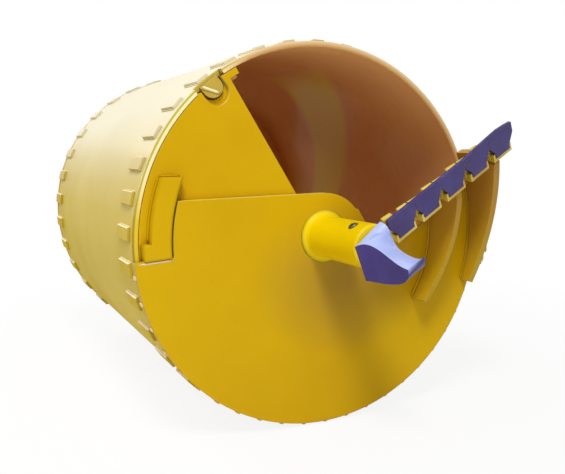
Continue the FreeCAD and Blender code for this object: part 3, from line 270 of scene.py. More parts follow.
def rounded_edges(tree, radius):
    """A normal that rounds the edges, and a mask that is 1 on them."""
    bevel = node(tree, "Bevel", Radius=radius)
    bevel.samples = 6
    flat = tree.nodes.new("ShaderNodeNewGeometry")
    product = tree.nodes.new("ShaderNodeVectorMath")
    product.operation = "DOT_PRODUCT"
    tree.links.new(bevel.outputs[0], product.inputs[0])
    tree.links.new(flat.outputs["Normal"], product.inputs[1])
    mask = ramp(tree, product.outputs["Value"], (0.86, 1.0), (0.985, 0.0))
    return bevel.outputs[0], mask


def bumps(tree, shader, normal, *layers):
    """Bump layers over a normal, each (height socket, strength, distance in metres)."""
    for height, strength, depth in layers:
        made = node(tree, "Bump", Strength=strength, Distance=depth)
        tree.links.new(height, made.inputs["Height"])
        tree.links.new(normal, made.inputs["Normal"])
        normal = made.outputs["Normal"]
    tree.links.new(normal, shader.inputs["Normal"])


print("kit: rounded_edges, bumps")

# %% [markdown]
# Sprayed enamel isn't a mirror: the gun leaves an orange-peel skin and the plate below is never quite flat.
# The recipe takes a base colour and gives the same finish to every painted piece. A broad noise moves the
# yellow a little towards orange and towards lemon, as an uneven coat does. A stretched noise leaves faint
# rain and dust streaks, and the edge mask shows a paler, thinner coat. Ambient occlusion darkens the corners
# and hollows, which is painted shade.

# %% Yellow enamel


def enamel(name, colour, deep, pale, roughness=0.3,
           waviness=0.1, edge=0.5, coat=0.0, specular=0.12, soft=0.0022):
    """Sprayed enamel over steel plate. soft is how far the shading rounds an edge, in metres."""
    material, tree, shader = new_material(name, roughness, 0.0, coat, specular)
    place = tree.nodes.new("ShaderNodeTexCoord")
    normal, edges = rounded_edges(tree, soft)
    paint = ramp(tree, noise(tree, place, 2.2, 4.0), (0.34, deep), (0.52, colour), (0.72, pale))
    streaks = ramp(tree, noise(tree, place, 5.0, 6.0, (6, 1, 0.7)), (0.52, 0.0), (0.8, 0.16))
    paint = mix(tree, streaks, paint, deep)
    specks = ramp(tree, noise(tree, place, 120, 2.0), (0.70, 0.0), (0.76, 0.22))
    paint = mix(tree, specks, paint, tuple(0.5 * c for c in deep))
    thin = times(tree, edges, ramp(tree, noise(tree, place, 38, 4.0), (0.42, 0.0), (0.6, edge)))
    paint = mix(tree, thin, paint, tuple(min(1, 0.25 + 0.8 * c) for c in pale))
    # Painted shade: ambient occlusion darkens the paint in corners and hollows.
    hollow = node(tree, "AmbientOcclusion", Distance=0.035)
    hollow.samples = 6
    corner_shade = ramp(tree, hollow.outputs["AO"], (0.25, 0.5), (0.7, 0.0))
    paint = mix(tree, corner_shade, paint, tuple(0.35 * c for c in deep))
    tree.links.new(paint, shader.inputs["Base Color"])
    worn = ramp(tree, noise(tree, place, 9, 6.0), (0.35, roughness - 0.06), (0.75, roughness + 0.12))
    tree.links.new(worn, shader.inputs["Roughness"])
    bumps(tree, shader, normal,
          (noise(tree, place, 3.5, 1.0), waviness, 0.004),
          (noise(tree, place, 420, 2.0), 0.10, 0.0005),
          (noise(tree, place, 60, 4.0), 0.06, 0.0010))
    return material


BOTTOM_YELLOWS = (0.66, 0.40, 0.0), (0.62, 0.365, 0.0), (0.70, 0.44, 0.0)
BOTTOM_ENAMEL = enamel("bottom_enamel", *BOTTOM_YELLOWS, 0.42)
SOFT_ENAMEL = enamel("soft_edged_enamel", *BOTTOM_YELLOWS, 0.42, soft=0.012, edge=0.0)
HUB_ENAMEL = enamel("hub_enamel", (0.84, 0.60, 0.0), (0.78, 0.53, 0.0), (0.90, 0.67, 0.0), 0.34,
                    edge=0.1, specular=0.2, soft=0.009)
HOLDER_ENAMEL = enamel("holder_enamel", (0.72, 0.50, 0.03), (0.62, 0.40, 0.02), (0.84, 0.66, 0.14), 0.36,
                       edge=0.8, coat=0.3, specular=0.3, soft=0.003)
print("enamels:", [m.name for m in (BOTTOM_ENAMEL, SOFT_ENAMEL, HUB_ENAMEL, HOLDER_ENAMEL)])

# %% [markdown]
# Three enamels go on whole faces. The latch hook sits in its notch, in shade, so it is painted a darker
# olive: painted shade. The ridge that the flap slams against gets a near-white enamel, which is a painted
# highlight. The beads round the plate are rubbed to ochre, and this pale ochre is also a painted highlight.
# They could share the edge mask, but these are whole faces, so each gets its own three yellows.

# %% Enamels with painted shade and highlight

# Painted shade: the hook's darker olive.
SHADED_HOOK_ENAMEL = enamel("shaded_hook_enamel", (0.52, 0.37, 0.05), (0.44, 0.29, 0.05), (0.58, 0.43, 0.06), 0.42)
# Painted highlight: a near-white enamel.
HIGHLIGHT_ENAMEL = enamel("highlight_edge_enamel", (0.92, 0.82, 0.46), (0.86, 0.74, 0.34), (0.97, 0.90, 0.60), 0.36,
                     edge=0.2)
# Rubbed ochre, which is also a painted highlight.
RUBBED_AND_HIGHLIGHT_BEAD_ENAMEL = enamel("rubbed_and_highlight_bead_enamel", (0.84, 0.62, 0.30), (0.76, 0.54, 0.22), (0.90, 0.70, 0.38), 0.36,
                     edge=0.2)
print("rubbed enamels:", [m.name for m in (SHADED_HOOK_ENAMEL, HIGHLIGHT_ENAMEL, RUBBED_AND_HIGHLIGHT_BEAD_ENAMEL)])

# %% [markdown]
# The wing and the fin carry the soil up the ramp. They stand under the ramp and the tooth row, so their
# enamel is painted a darker yellow that goes brown towards the teeth: painted shade. The brown follows the
# height in the object's own space, with noise to make its border ragged. A ramp takes values from 0 to 1
# only, so the height is lifted by 0.3 m first.

# %% Wings with painted shade


def shaded_wing_enamel():
    """The bottom's enamel on the wings, darker, and brown towards the ramp: painted shade."""
    material = enamel("shaded_wing_enamel", (0.58, 0.37, 0.01), (0.53, 0.32, 0.01), (0.63, 0.42, 0.01), 0.42)
    tree = material.node_tree
    place = tree.nodes.new("ShaderNodeTexCoord")
    height = plus(tree, parts(tree, place.outputs["Object"])[2], 0.3)
    height = plus(tree, height, times(tree, noise(tree, place, 6.0, 4.0), 0.08))
    # Painted shade: brown towards the ramp and the teeth.
    repaint(material, ramp(tree, height, (0.22, 0.0), (0.46, 0.9)), (0.50, 0.265, 0.04))
    return material


SHADED_WING_ENAMEL = shaded_wing_enamel()
print("wings:", SHADED_WING_ENAMEL.name)

# %% [markdown]
# The two bottom plates are cut by flame. Paint is thin and pale on their cut faces, and this pale colour is
# also a painted highlight along their edges. The outer edge, which runs in the rim, is soiled instead. A
# face's normal tells a cut face from the flat one. A brown oval is painted on the front plate, the one above
# the rim, under the pilot tube: a painted shadow of the tube.

# %% Cut plates with a painted shadow

FRONT_PLATE_FROM = at(0, 0, 1.5).y
OUTER_EDGE_FROM = 0.52915
TUBE_SHADOW_SPOT = {"x": 0.07, "z": -0.12, "half_width": 0.30, "half_height": 0.24}


def plate_enamel():
    """The bottom's enamel on a flame-cut plate, with a painted shadow under the pilot tube."""
    material = enamel("cut_plate_enamel", *BOTTOM_YELLOWS, 0.42, soft=0.003)
    tree = material.node_tree
    place = tree.nodes.new("ShaderNodeTexCoord")
    x, y, z = parts(tree, place.outputs["Object"])
    flatness = calculate(tree, "ABSOLUTE", parts(tree, place.outputs["Normal"])[1])
    outer_edge = calculate(tree, "GREATER_THAN", distance(tree, x, z), OUTER_EDGE_FROM)
    # Pale cut faces: thin paint, and a painted highlight along the edges.
    repaint(material, ramp(tree, flatness, (0.2, 0.75), (0.5, 0.0)),
            mix(tree, outer_edge, (0.86, 0.70, 0.14), (0.50, 0.35, 0.04)))
    across = calculate(tree, "DIVIDE", plus(tree, x, -TUBE_SHADOW_SPOT["x"]), TUBE_SHADOW_SPOT["half_width"])
    up = calculate(tree, "DIVIDE", plus(tree, z, -TUBE_SHADOW_SPOT["z"]), TUBE_SHADOW_SPOT["half_height"])
    # Painted shadow: a brown oval under the pilot tube.
    painted_tube_shadow = ramp(tree, distance(tree, across, up), (0.10, 0.68), (0.45, 0.44), (0.75, 0.20), (1.0, 0.0))
    on_front = calculate(tree, "LESS_THAN", y, FRONT_PLATE_FROM)
    repaint(material, times(tree, painted_tube_shadow, on_front), (0.30, 0.18, 0.03))
    return material


PLATE_ENAMEL = plate_enamel()
print("plates:", PLATE_ENAMEL.name)

# %% [markdown]
# The side of the barrel that looks up and to the left, towards the lamps, is painted almost white: a painted
# highlight. A lamp could burn it out instead, but then it would go wherever the lamp goes. So the highlight
# is in the paint: it follows how far a point lies on that side of the axis. At a grazing view even dull paint
# mirrors the white room, so the specular is off here and a thin coat carries all the gloss.

# %% Enamel with a painted highlight

LIT_SIDE = (-0.574, 0.0, 0.819)


def lit_side_highlight(material, ends=0.0):
    """Paints a pale highlight on the lit side of an enamel. ends is how much the faces across the barrel join
    in.
    """
    tree = material.node_tree
    shader = tree.nodes["Principled BSDF"]
    place = tree.nodes.new("ShaderNodeTexCoord")
    facing = calculate(tree, "DIVIDE", toward(tree, place.outputs["Object"], LIT_SIDE), SHELL_RADIUS / 1000)
    facing = plus(tree, facing, times(tree, noise(tree, place, 1.8, 3.0), 0.06))
    highlight_mask = ramp(tree, facing, (0.70, 0.0), (0.80, 0.10), (0.88, 0.28), (0.96, 0.55), (1.0, 0.66))
    end_face = calculate(tree, "ABSOLUTE", parts(tree, place.outputs["Normal"])[1])
    faces_lit_side = plus(tree, toward(tree, place.outputs["Normal"], LIT_SIDE), times(tree, end_face, ends))
    highlight_mask = times(tree, highlight_mask, ramp(tree, faces_lit_side, (0.2, 0.0), (0.5, 1.0)))
    # Painted highlight: a near-white colour on the lit side of the axis.
    repaint(material, highlight_mask, (0.84, 0.83, 0.74))
    shader.inputs["Specular IOR Level"].default_value = 0.0
    gloss = ramp(tree, facing, (0.0, 0.04), (0.5, 0.10), (0.75, 0.30), (1.0, 0.45))
    tree.links.new(gloss, shader.inputs["Coat Weight"])
    return material


print("sky side:", LIT_SIDE)

# %% [markdown]
# Inside the barrel nobody aims for a finish: there is a thin coat of red-brown primer, scoured by spoil. A
# band of pale yellow is painted on it as a painted reflection of light on the inner wall. The band winds up
# the wall, so its middle and its width change with the angle. The rim has its own colours: on the left, pale
# bands that are painted highlight, lighter above than below; on the right, rubbed brown primer.

# %% Primer, painted reflection and rim


def reflection_band_mask(tree, angle, y):
    """A mask of the pale yellow band painted on the inner wall as a reflection of light."""
    middle = calculate(tree, "SUBTRACT", -0.50, times(tree, angle, 0.387))
    aside = calculate(tree, "ABSOLUTE", calculate(tree, "SUBTRACT", y, middle))
    reach = plus(tree, times(tree, angle, 0.072), 0.125)
    across = ramp(tree, calculate(tree, "DIVIDE", aside, reach), (0.70, 0.85), (1.05, 0.0))
    turn = calculate(tree, "DIVIDE", plus(tree, angle, 0.5), 2.0)
    return times(tree, across, ramp(tree, turn, (0.10, 0.0), (0.26, 0.7), (0.79, 1.0), (0.91, 0.0)))


def inner_primer(tree, place, painted_reflection):
    """The colours of the inner wall, with the painted reflection band."""
    primer = ramp(tree, noise(tree, place, 2.6, 5.0, (1, 0.5, 1)),
                  (0.3, (0.83, 0.44, 0.19)), (0.5, (0.90, 0.49, 0.20)), (0.7, (0.95, 0.54, 0.21)))
    scoured = ramp(tree, noise(tree, place, 14, 8.0, (1, 4, 1)), (0.55, 0.0), (0.8, 0.35))
    primer = mix(tree, scoured, primer, (0.72, 0.33, 0.10))
    # Painted reflection: a pale yellow band on the inner wall.
    return mix(tree, painted_reflection, primer, (0.96, 0.84, 0.12))


def rim_wear_and_highlight(tree, x, z, radius):
    """The colours across the rim's face, from the inner edge to the outer: pale painted highlight bands on
    the upper left, which is lighter than the lower left, and rubbed brown primer on the right.
    """
    across = calculate(tree, "DIVIDE", plus(tree, radius, -0.53), 0.02)
    upper_left = ramp(tree, across, (0.58, (1.0, 0.90, 0.46)), (0.70, (0.56, 0.45, 0.08)),
                      (0.84, (0.56, 0.45, 0.08)), (0.98, (0.84, 0.78, 0.36)))
    lower_left = ramp(tree, across, (0.62, (0.80, 0.60, 0.03)), (0.80, (0.42, 0.29, 0.03)))
    left = mix(tree, ramp(tree, plus(tree, z, 0.5), (0.56, 1.0), (0.66, 0.0)), upper_left, lower_left)
    right = ramp(tree, across, (0.30, (0.54, 0.30, 0.08)), (0.95, (0.84, 0.62, 0.36)))
    return mix(tree, ramp(tree, plus(tree, x, 0.5), (0.18, 0.0), (0.28, 1.0)), left, right)


print("inside and rim colours ready")

# %% [markdown]
# One material can hold the outside, the inside and the rim, because the distance from the bucket's axis
# says on which side of the wall a point is. That saves cutting the shell's faces into groups, which would
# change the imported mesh.

# %% Barrel enamel

INNER_WALL = (SHELL_INSIDE + 0.5) / 1000
TOP_PLATE_UNDER = at(0, 0, -SHELL_LENGTH - 0.5).y
RIM_PLANE = at(0, 0, -0.8).y
INNER_COAT = 0.16


def barrel_enamel():
    """Enamel with a painted highlight outside, primer with a painted reflection inside, and a rim with rubbed
    colours and painted highlight.
    """
    material = lit_side_highlight(enamel("barrel_enamel", (0.62, 0.47, 0.075), (0.57, 0.42, 0.055),
                                   (0.67, 0.52, 0.10), 0.34, waviness=0.08, edge=0.7, soft=0.004))
    tree = material.node_tree
    place = tree.nodes.new("ShaderNodeTexCoord")
    x, y, z = parts(tree, place.outputs["Object"])
    radius = distance(tree, x, z)
    inside = times(tree, calculate(tree, "LESS_THAN", radius, INNER_WALL),
                   calculate(tree, "LESS_THAN", y, TOP_PLATE_UNDER))
    # The rim: rubbed primer on the right, and painted highlight on the upper left.
    repaint(material, calculate(tree, "LESS_THAN", y, RIM_PLANE), rim_wear_and_highlight(tree, x, z, radius))
    painted_reflection = reflection_band_mask(tree, calculate(tree, "ARCTAN2", z, x), y)
    repaint(material, inside, inner_primer(tree, place, painted_reflection))
    gloss = tree.nodes["Principled BSDF"].inputs["Coat Weight"]
    outside_gloss = times(tree, calculate(tree, "SUBTRACT", 1.0, inside), gloss.links[0].from_socket)
    tree.links.new(plus(tree, outside_gloss, times(tree, inside, INNER_COAT)), gloss)
    return material


BARREL_ENAMEL = barrel_enamel()
print("barrel:", BARREL_ENAMEL.name)

# %% [markdown]
# Wear bars take the rubbing so that the barrel doesn't. On the barrel's left, the upper side of each bar is
# painted pale peach as a painted highlight, where it catches the light. Such a side looks clockwise round the
# axis and also up, and both can be read off the normal: the first is the cross product of the normal and the
# place. The bars also get the barrel's painted highlight on the lit side.

# %% Enamel of the wear bars


def upper_side_highlight(material):
    """Paints a pale highlight on the side of each bar that looks up and clockwise round the bucket's axis."""
    tree = material.node_tree
    place = tree.nodes.new("ShaderNodeTexCoord")
    x, _, z = parts(tree, place.outputs["Object"])
    normal_x, _, normal_z = parts(tree, place.outputs["Normal"])
    clockwise = calculate(tree, "SUBTRACT", times(tree, normal_x, z), times(tree, normal_z, x))
    lit_upper_side = ramp(tree, normal_z, (0.2, 0.0), (0.4, 0.95))
    lit_upper_side = times(tree, calculate(tree, "GREATER_THAN", clockwise, 0.3), lit_upper_side)
    # Painted highlight: pale peach on the bars' upper sides.
    repaint(material, lit_upper_side, (1.0, 0.84, 0.60))
    return material


HARDFACING_ENAMEL = enamel("hardfacing_enamel", (0.60, 0.43, 0.03), (0.51, 0.36, 0.02), (0.68, 0.51, 0.07),
                           0.4, waviness=0.3, edge=0.9)
upper_side_highlight(lit_side_highlight(HARDFACING_ENAMEL, ends=0.45))
print("wear bars:", HARDFACING_ENAMEL.name)

# %% [markdown]
# The teeth and the pilot bit are bought parts. They come in a violet-blue lacquer over a forged, hardfaced
# blank, so the skin is lumpier than plate, and it chips to bare metal at the cutting edges first. On the bit,
# the facets that look up are painted pale blue: a painted highlight of the light from above. The same recipe
# makes both, with the highlight as a number.

# %% Violet lacquer

LIT_FACET_SIDE = (0.2, -0.35, 0.9)


def lacquer(name, blue, lit_facet_highlight):
    """Violet lacquer. The third argument is how far the side that looks up is painted pale blue, as a painted
    highlight.
    """
    material, tree, shader = new_material(name, 0.34, 0.0, 0.1, 0.3)
    place = tree.nodes.new("ShaderNodeTexCoord")
    normal, edges = rounded_edges(tree, 0.003)
    skin = ramp(tree, noise(tree, place, 9, 5.0), (0.3, (0.038, 0.022, 0.8 * blue)),
                (0.52, (0.048, 0.029, blue)), (0.74, (0.064, 0.045, 1.3 * blue)))
    looks_up = toward(tree, place.outputs["Normal"], LIT_FACET_SIDE)
    # Painted highlight: pale blue on the facets that look up.
    skin = mix(tree, ramp(tree, looks_up, (0.12, 0.0), (0.34, lit_facet_highlight)), skin, (0.46, 0.55, 0.95))
    chips = times(tree, edges, ramp(tree, noise(tree, place, 55, 5.0), (0.5, 0.0), (0.62, 0.7)))
    tree.links.new(mix(tree, chips, skin, (0.24, 0.23, 0.34)), shader.inputs["Base Color"])
    worn = ramp(tree, noise(tree, place, 22, 5.0), (0.3, 0.26), (0.75, 0.48))
    tree.links.new(worn, shader.inputs["Roughness"])
    bumps(tree, shader, normal,
          (noise(tree, place, 28, 3.0), 0.35, 0.003),
          (noise(tree, place, 260, 3.0), 0.15, 0.0006))
    return material


VIOLET_LACQUER = lacquer("violet_lacquer", 0.17, 0.0)
BIT_LACQUER = lacquer("lit_facet_lacquer", 0.21, 0.97)
print("lacquers:", VIOLET_LACQUER.name, BIT_LACQUER.name)

# %% [markdown]
# Pins, bolts, the spring and the bronze bush are bare. A turned pin shows fine grain, rubbed edges and a
# film of dirt, which changes the roughness more than the colour. So one recipe with two colours does for
# all.

# %% Bare steel and bronze


def bare_metal(name, dark, light, roughness):
    """Turned or rolled metal with a film of dirt."""
    material, tree, shader = new_material(name, roughness, 1.0)
    place = tree.nodes.new("ShaderNodeTexCoord")
    normal, edges = rounded_edges(tree, 0.0012)
    skin = ramp(tree, noise(tree, place, 30, 6.0), (0.35, dark), (0.65, light))
    skin = mix(tree, times(tree, edges, 0.5), skin, tuple(min(1, 1.4 * c) for c in light))
    tree.links.new(skin, shader.inputs["Base Color"])
    film = ramp(tree, noise(tree, place, 45, 5.0), (0.3, roughness - 0.1), (0.75, roughness + 0.2))
    tree.links.new(film, shader.inputs["Roughness"])
    bumps(tree, shader, normal, (noise(tree, place, 220, 3.0), 0.2, 0.0005))
    return material


PIN_STEEL = bare_metal("pin_steel", (0.20, 0.20, 0.21), (0.42, 0.43, 0.45), 0.38)
BOLT_STEEL = bare_metal("bolt_steel", (0.42, 0.42, 0.40), (0.60, 0.60, 0.57), 0.42)
SPRING_STEEL = bare_metal("spring_steel", (0.03, 0.03, 0.035), (0.08, 0.08, 0.09), 0.4)
BRONZE = bare_metal("bearing_bronze", (0.42, 0.24, 0.09), (0.66, 0.43, 0.18), 0.32)
HEAD_STEEL = bare_metal("pin_head_steel", (0.13, 0.13, 0.09), (0.26, 0.26, 0.19), 0.5)
print("metals:", [m.name for m in (PIN_STEEL, BOLT_STEEL, SPRING_STEEL, BRONZE, HEAD_STEEL)])

# %% [markdown]
# Each CAD node already carries the name of its material slot in the record, so one table of slots paints
# the whole frame. A few pieces differ from the others of their slot, and a second table names those.
# Nothing is left in the plain colour that it was packed with.

# %% Paint the CAD nodes

FINISHES = {
    "shell_paint": BARREL_ENAMEL,
    "bottom_paint": BOTTOM_ENAMEL,
    "hub_paint": HUB_ENAMEL,
    "tooth_steel": VIOLET_LACQUER,
    "bearing_bronze": BRONZE,
    "pin_steel": PIN_STEEL,
    "hardfacing": HARDFACING_ENAMEL,
    "zinc_bolt": BOLT_STEEL,
    "spring_steel": SPRING_STEEL,
}
OWN_FINISH = {
    "side_wing": SHADED_WING_ENAMEL,
    "middle_fin": SHADED_WING_ENAMEL,
    "ramp_plate": SHADED_WING_ENAMEL,
    "ramp_web": SHADED_WING_ENAMEL,
    "rotating_plate": PLATE_ENAMEL,
    "inner_plate": PLATE_ENAMEL,
    "stop_lug": SOFT_ENAMEL,
    "latch_hook": SHADED_HOOK_ENAMEL,
    "rim_beads": RUBBED_AND_HIGHLIGHT_BEAD_ENAMEL,
    "pilot_bit": BIT_LACQUER,
}
OWN_FINISH |= {name: HOLDER_ENAMEL for name in nodes if name.startswith("tooth_holder")}
slot_of = {row["node"]: row["material_slot"] for row in frame["record"]["subparts"]}
for name, cad in nodes.items():
    cad.data.materials.clear()
    cad.data.materials.append(OWN_FINISH.get(name, FINISHES[slot_of[name]]))
print("painted:", len(slot_of))

# %% [markdown]
# A weld joins nearly every pair of plates here. Its ripples come at a steady pitch, so the first thing that
# a weld needs is a path with points at even steps. A curve object with a bevel could make a smooth round
# bead, but not the ripples, so the mesh is built row by row.

# %% Even steps, and a piece that rides


def spaced(points, step):
    """Points at even steps along a path, each with its distance, its stretch and how far along that it is."""
    lengths = [0.0]
    for first, second in zip(points, points[1:]):
        lengths.append(lengths[-1] + (second - first).length)
    count = max(2, round(lengths[-1] / step))
    rows = []
    index = 0
    for number in range(count + 1):
        want = lengths[-1] * number / count
        while index < len(points) - 2 and lengths[index + 1] < want:
            index += 1
        stretch = lengths[index + 1] - lengths[index] or 1
        share = (want - lengths[index]) / stretch
        rows.append((points[index].lerp(points[index + 1], share), want, index, share))
    return rows


def new_piece(name, vertices, faces, material, body):
    """A smooth mesh object with outward faces and a material, which rides on a body."""
    mesh = bpy.data.meshes.new(name)
    mesh.from_pydata(vertices, [], faces)
    mesh.validate()
    shape = bmesh.new()
    shape.from_mesh(mesh)
    bmesh.ops.recalc_face_normals(shape, faces=shape.faces)
    shape.to_mesh(mesh)
    shape.free()
    made = bpy.data.objects.new(name, mesh)
    bpy.context.scene.collection.objects.link(made)
    mesh.materials.append(material)
    mesh.polygons.foreach_set("use_smooth", [True] * len(mesh.polygons))
    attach(made, body)
    return made


print("kit: spaced, new_piece")

# %% [markdown]
# A fillet weld is a rounded strip in an inside corner, with ripples like a row of fallen coins where the
# pool froze. At each step a quarter-round section spans the two plates, and its size swells and shrinks
# once per coin. The coins lean back in the middle, so the ripple's phase lags there. The arc starts and
# stops small, so a weld tapers at its ends, except a ring or a fat bead that is cut off full.

# %% Fillet welds

SECTION_STEPS = 7
COIN = 0.0065


def fillet(path, leg, full_ends, step_length):
    """Vertices and faces of one weld. The path holds (corner, way up one plate, way up the other)."""
    rows = spaced([corner for corner, _, _ in path], step_length)
    total = rows[-1][1]
    vertices = []
    faces = []
    for point, so_far, index, share in rows:
        first = path[index][1].lerp(path[index + 1][1], share).normalized()
        second = path[index][2].lerp(path[index + 1][2], share).normalized()
        taper = 1.0 if full_ends else min(1.0, 0.25 + min(so_far, total - so_far) / (1.2 * leg))
        for step in range(SECTION_STEPS):
            t = step / (SECTION_STEPS - 1) * math.pi / 2
            lag = 0.5 * math.sin(2 * t)
            ripple = 0.9 + 0.13 * ((so_far / COIN + lag) % 1.0)
            bulge = 0.86 + 0.16 * math.sin(2 * t)
            size = leg * taper * ripple * bulge
            vertices.append(point + (first * math.cos(t) + second * math.sin(t)) * size)
        vertices.append(point - (first + second) * 0.0003)
    ring = SECTION_STEPS + 1
    last = (len(rows) - 1) * ring
    for row in range(0, last, ring):
        for step in range(ring):
            a = row + step
            b = row + (step + 1) % ring
            faces.append((a, b, b + ring, a + ring))
    faces.append(tuple(range(ring)))
    faces.append(tuple(range(last + ring - 1, last - 1, -1)))
    return vertices, faces


def weld(name, paths, leg, body, material, full_ends=False, step_length=0.0022):
    """One piece made of all the welds of a joint. Legs are in millimetres and steps in metres."""
    vertices = []
    faces = []
    for path in paths:
        more, their_faces = fillet(path, leg / 1000, full_ends, step_length)
        start = len(vertices)
        vertices += more
        faces += [tuple(start + v for v in face) for face in their_faces]
    return new_piece(name, vertices, faces, material, body)


print("ripple pitch:", COIN * 1000, "mm")

# %% [markdown]
# Nearly all the corners on this bucket are either straight or rings round its axis, so three helpers give
# all the paths: a ring, a straight line, and the four straight lines round a square box.

# %% Paths for the welds


def ring_path(radius, z, radial, axial, start=0, end=360):
    """A path round the axis. radial is 1 for a weld outside the radius and -1 for one inside."""
    steps = max(8, round(abs(end - start) / 3))
    made = []
    for number in range(steps + 1):
        angle = start + (end - start) * number / steps
        made.append((around(radius, angle, z), outward(angle) * radial, way(0, 0, axial)))
    return made


def straight_path(begin, end, first, second):
    """A path from one corner to another, with the same two plates all along it."""
    return [(begin, first, second), (end, first, second)]


def square_path(half, z, axial):
    """Four straight paths round a square box."""
    paths = []
    for quarter in range(4):
        a = math.radians(90 * quarter)
        normal = Vector((math.cos(a), math.sin(a)))
        side = Vector((-math.sin(a), math.cos(a)))
        begin, end = normal * half - side * half, normal * half + side * half
        paths.append(straight_path(at(begin.x, begin.y, z), at(end.x, end.y, z),
                                   way(normal.x, normal.y, 0), way(0, 0, axial)))
    return paths


print("a full ring has", len(ring_path(SHELL_RADIUS, 0, 1, 1)), "points")

# %% [markdown]
# First the welds of the barrel: the ring that joins the rolled shell to the thick top plate, the lengthwise
# seam where the rolled plate meets itself, and the square box for the kelly bar with its gussets.

# %% Welds of the shell and the kelly box

SHELL_SKIN = SHELL_RADIUS - 1
SEAM_ANGLE = 318
KELLY_HALF = 130
COLLAR_FACE = TOP_FACE - 220
GUSSET_HALF = 0.010

weld("shell_seam_weld", [ring_path(SHELL_SKIN, -SHELL_LENGTH, 1, side) for side in (1, -1)],
     4, "barrel", BARREL_ENAMEL, full_ends=True)
seam_ends = [around(SHELL_RADIUS - 1.5, SEAM_ANGLE, z) for z in (-80, -1225)]
weld("long_seam_weld",
     [straight_path(*seam_ends, outward(SEAM_ANGLE), outward(SEAM_ANGLE + side * 90)) for side in (1, -1)],
     4.5, "barrel", BARREL_ENAMEL)
weld("kelly_base_weld", square_path(KELLY_HALF, TOP_FACE, -1), 12, "barrel", BARREL_ENAMEL)
weld("kelly_collar_weld", square_path(KELLY_HALF, COLLAR_FACE, 1), 8, "barrel", BARREL_ENAMEL)

gusset_paths = []
for angle in (45, 135, 225, 315):
    for side in (1, -1):
        face = outward(angle + 90 * side)
        begin, end = (around(radius, angle, TOP_FACE) + face * GUSSET_HALF for radius in (188, 398))
        gusset_paths.append(straight_path(begin, end, face, INTO_BARREL))
weld("gusset_weld", gusset_paths, 9, "barrel", BARREL_ENAMEL)
print("shell and kelly box welded")

# %% [markdown]
# Each wear bar is welded along its two long sides and across the end that lies inwards on the barrel. There
# are 33 bars round the mouth and 36 round the kelly end, so a loop makes the paths, with longer steps to
# save triangles on beads as thin as these.

# %% Welds of the wear bars

BAR_HALF_WIDTH = 19
FRONT_PITCH = 9.76
FRONT_BARS = {"front": -26, "back": -138, "count": 33,
              "first_angle": 270 - 25.5 * FRONT_PITCH, "pitch": FRONT_PITCH}
REAR_BARS = {"front": 112 - SHELL_LENGTH, "back": -SHELL_LENGTH, "count": 36,
             "first_angle": 95, "pitch": 10}


def bar_weld_paths(front, back, first_angle, pitch, count):
    """The two long sides and the inner end of each wear bar in a ring."""
    radius = SHELL_RADIUS - 0.5
    half = math.degrees(BAR_HALF_WIDTH / SHELL_RADIUS)
    middle = -SHELL_LENGTH / 2
    inner = min(front, back, key=lambda z: abs(z - middle))
    away = way(0, 0, 1 if inner == front else -1)
    paths = []
    for number in range(count):
        angle = first_angle + pitch * number
        for side in (1, -1):
            edge = angle + side * half
            paths.append(straight_path(around(radius, edge, back), around(radius, edge, front),
                                       outward(edge), outward(edge + side * 90)))
        across = [angle - half, angle, angle + half]
        paths.append([(around(radius, spot, inner), outward(spot), away) for spot in across])
    return paths


for name, bars in (("front_bar_weld", FRONT_BARS), ("rear_bar_weld", REAR_BARS)):
    weld(name, bar_weld_paths(**bars), 3.5, "barrel", HARDFACING_ENAMEL, step_length=0.0036)
print("wear bars welded:", FRONT_BARS["count"] + REAR_BARS["count"])

# %% [markdown]
# The lugs of the flap's hinge stand outside the shell. The lands that the flap closes against and the
# cheeks of the latch stand inside it. Each is welded along both its faces, so the paths run along the axis
# at the angle where a face meets the round wall.

# %% Welds of the lugs, lands and cheeks

LUG_FACES = (87, 112)
LAND_ANGLES = (121.3, -121.3)
LAND_HALF_WIDTH = 20
CHEEK_HALF_WIDTH = 27

lug_paths = []
for up in (1, -1):
    for y, away in zip(LUG_FACES, (-1, 1)):
        skin = SHELL_RADIUS - 0.5
        angle = up * math.degrees(math.atan2(y, math.sqrt(skin ** 2 - y * y)))
        lug_paths.append(straight_path(around(skin, angle, -34), around(skin, angle, -110),
                                       outward(angle), way(0, away * up, 0)))
weld("hinge_lug_weld", lug_paths, 6, "barrel", BARREL_ENAMEL)


def inner_face_paths(middle, half_width, front, back):
    """Both sides of a block on the inner wall."""
    paths = []
    for side in (1, -1):
        angle = middle + side * math.degrees(math.asin(half_width / SHELL_INSIDE))
        paths.append(straight_path(around(SHELL_INSIDE, angle, front), around(SHELL_INSIDE, angle, back),
                                   -outward(angle), outward(angle + side * 90)))
    return paths


land_paths = [path for angle in LAND_ANGLES for path in inner_face_paths(angle, LAND_HALF_WIDTH, -27, -58)]
weld("flap_stop_weld", land_paths, 5, "barrel", BARREL_ENAMEL)
weld("latch_cheek_weld", inner_face_paths(LATCH_ANGLE, CHEEK_HALF_WIDTH, -62, -158),
     5, "barrel", BARREL_ENAMEL)
print("lugs, lands and cheeks welded")

# %% [markdown]
# Then the bottom. The side wing and the fin are arcs that stand on the rotating plate, and the ramp meets
# it in a line behind the teeth. Their welds are the soft lines that part one yellow plate from the next.

# %% Welds of the wing, the fin and the ramp

RAMP_FOOT = -168
WING = {"inside": 522, "outside": 547, "tail": -18.3, "leg": 5}
FIN = {"inside": 368, "outside": 388, "tail": -33.7, "leg": 7}


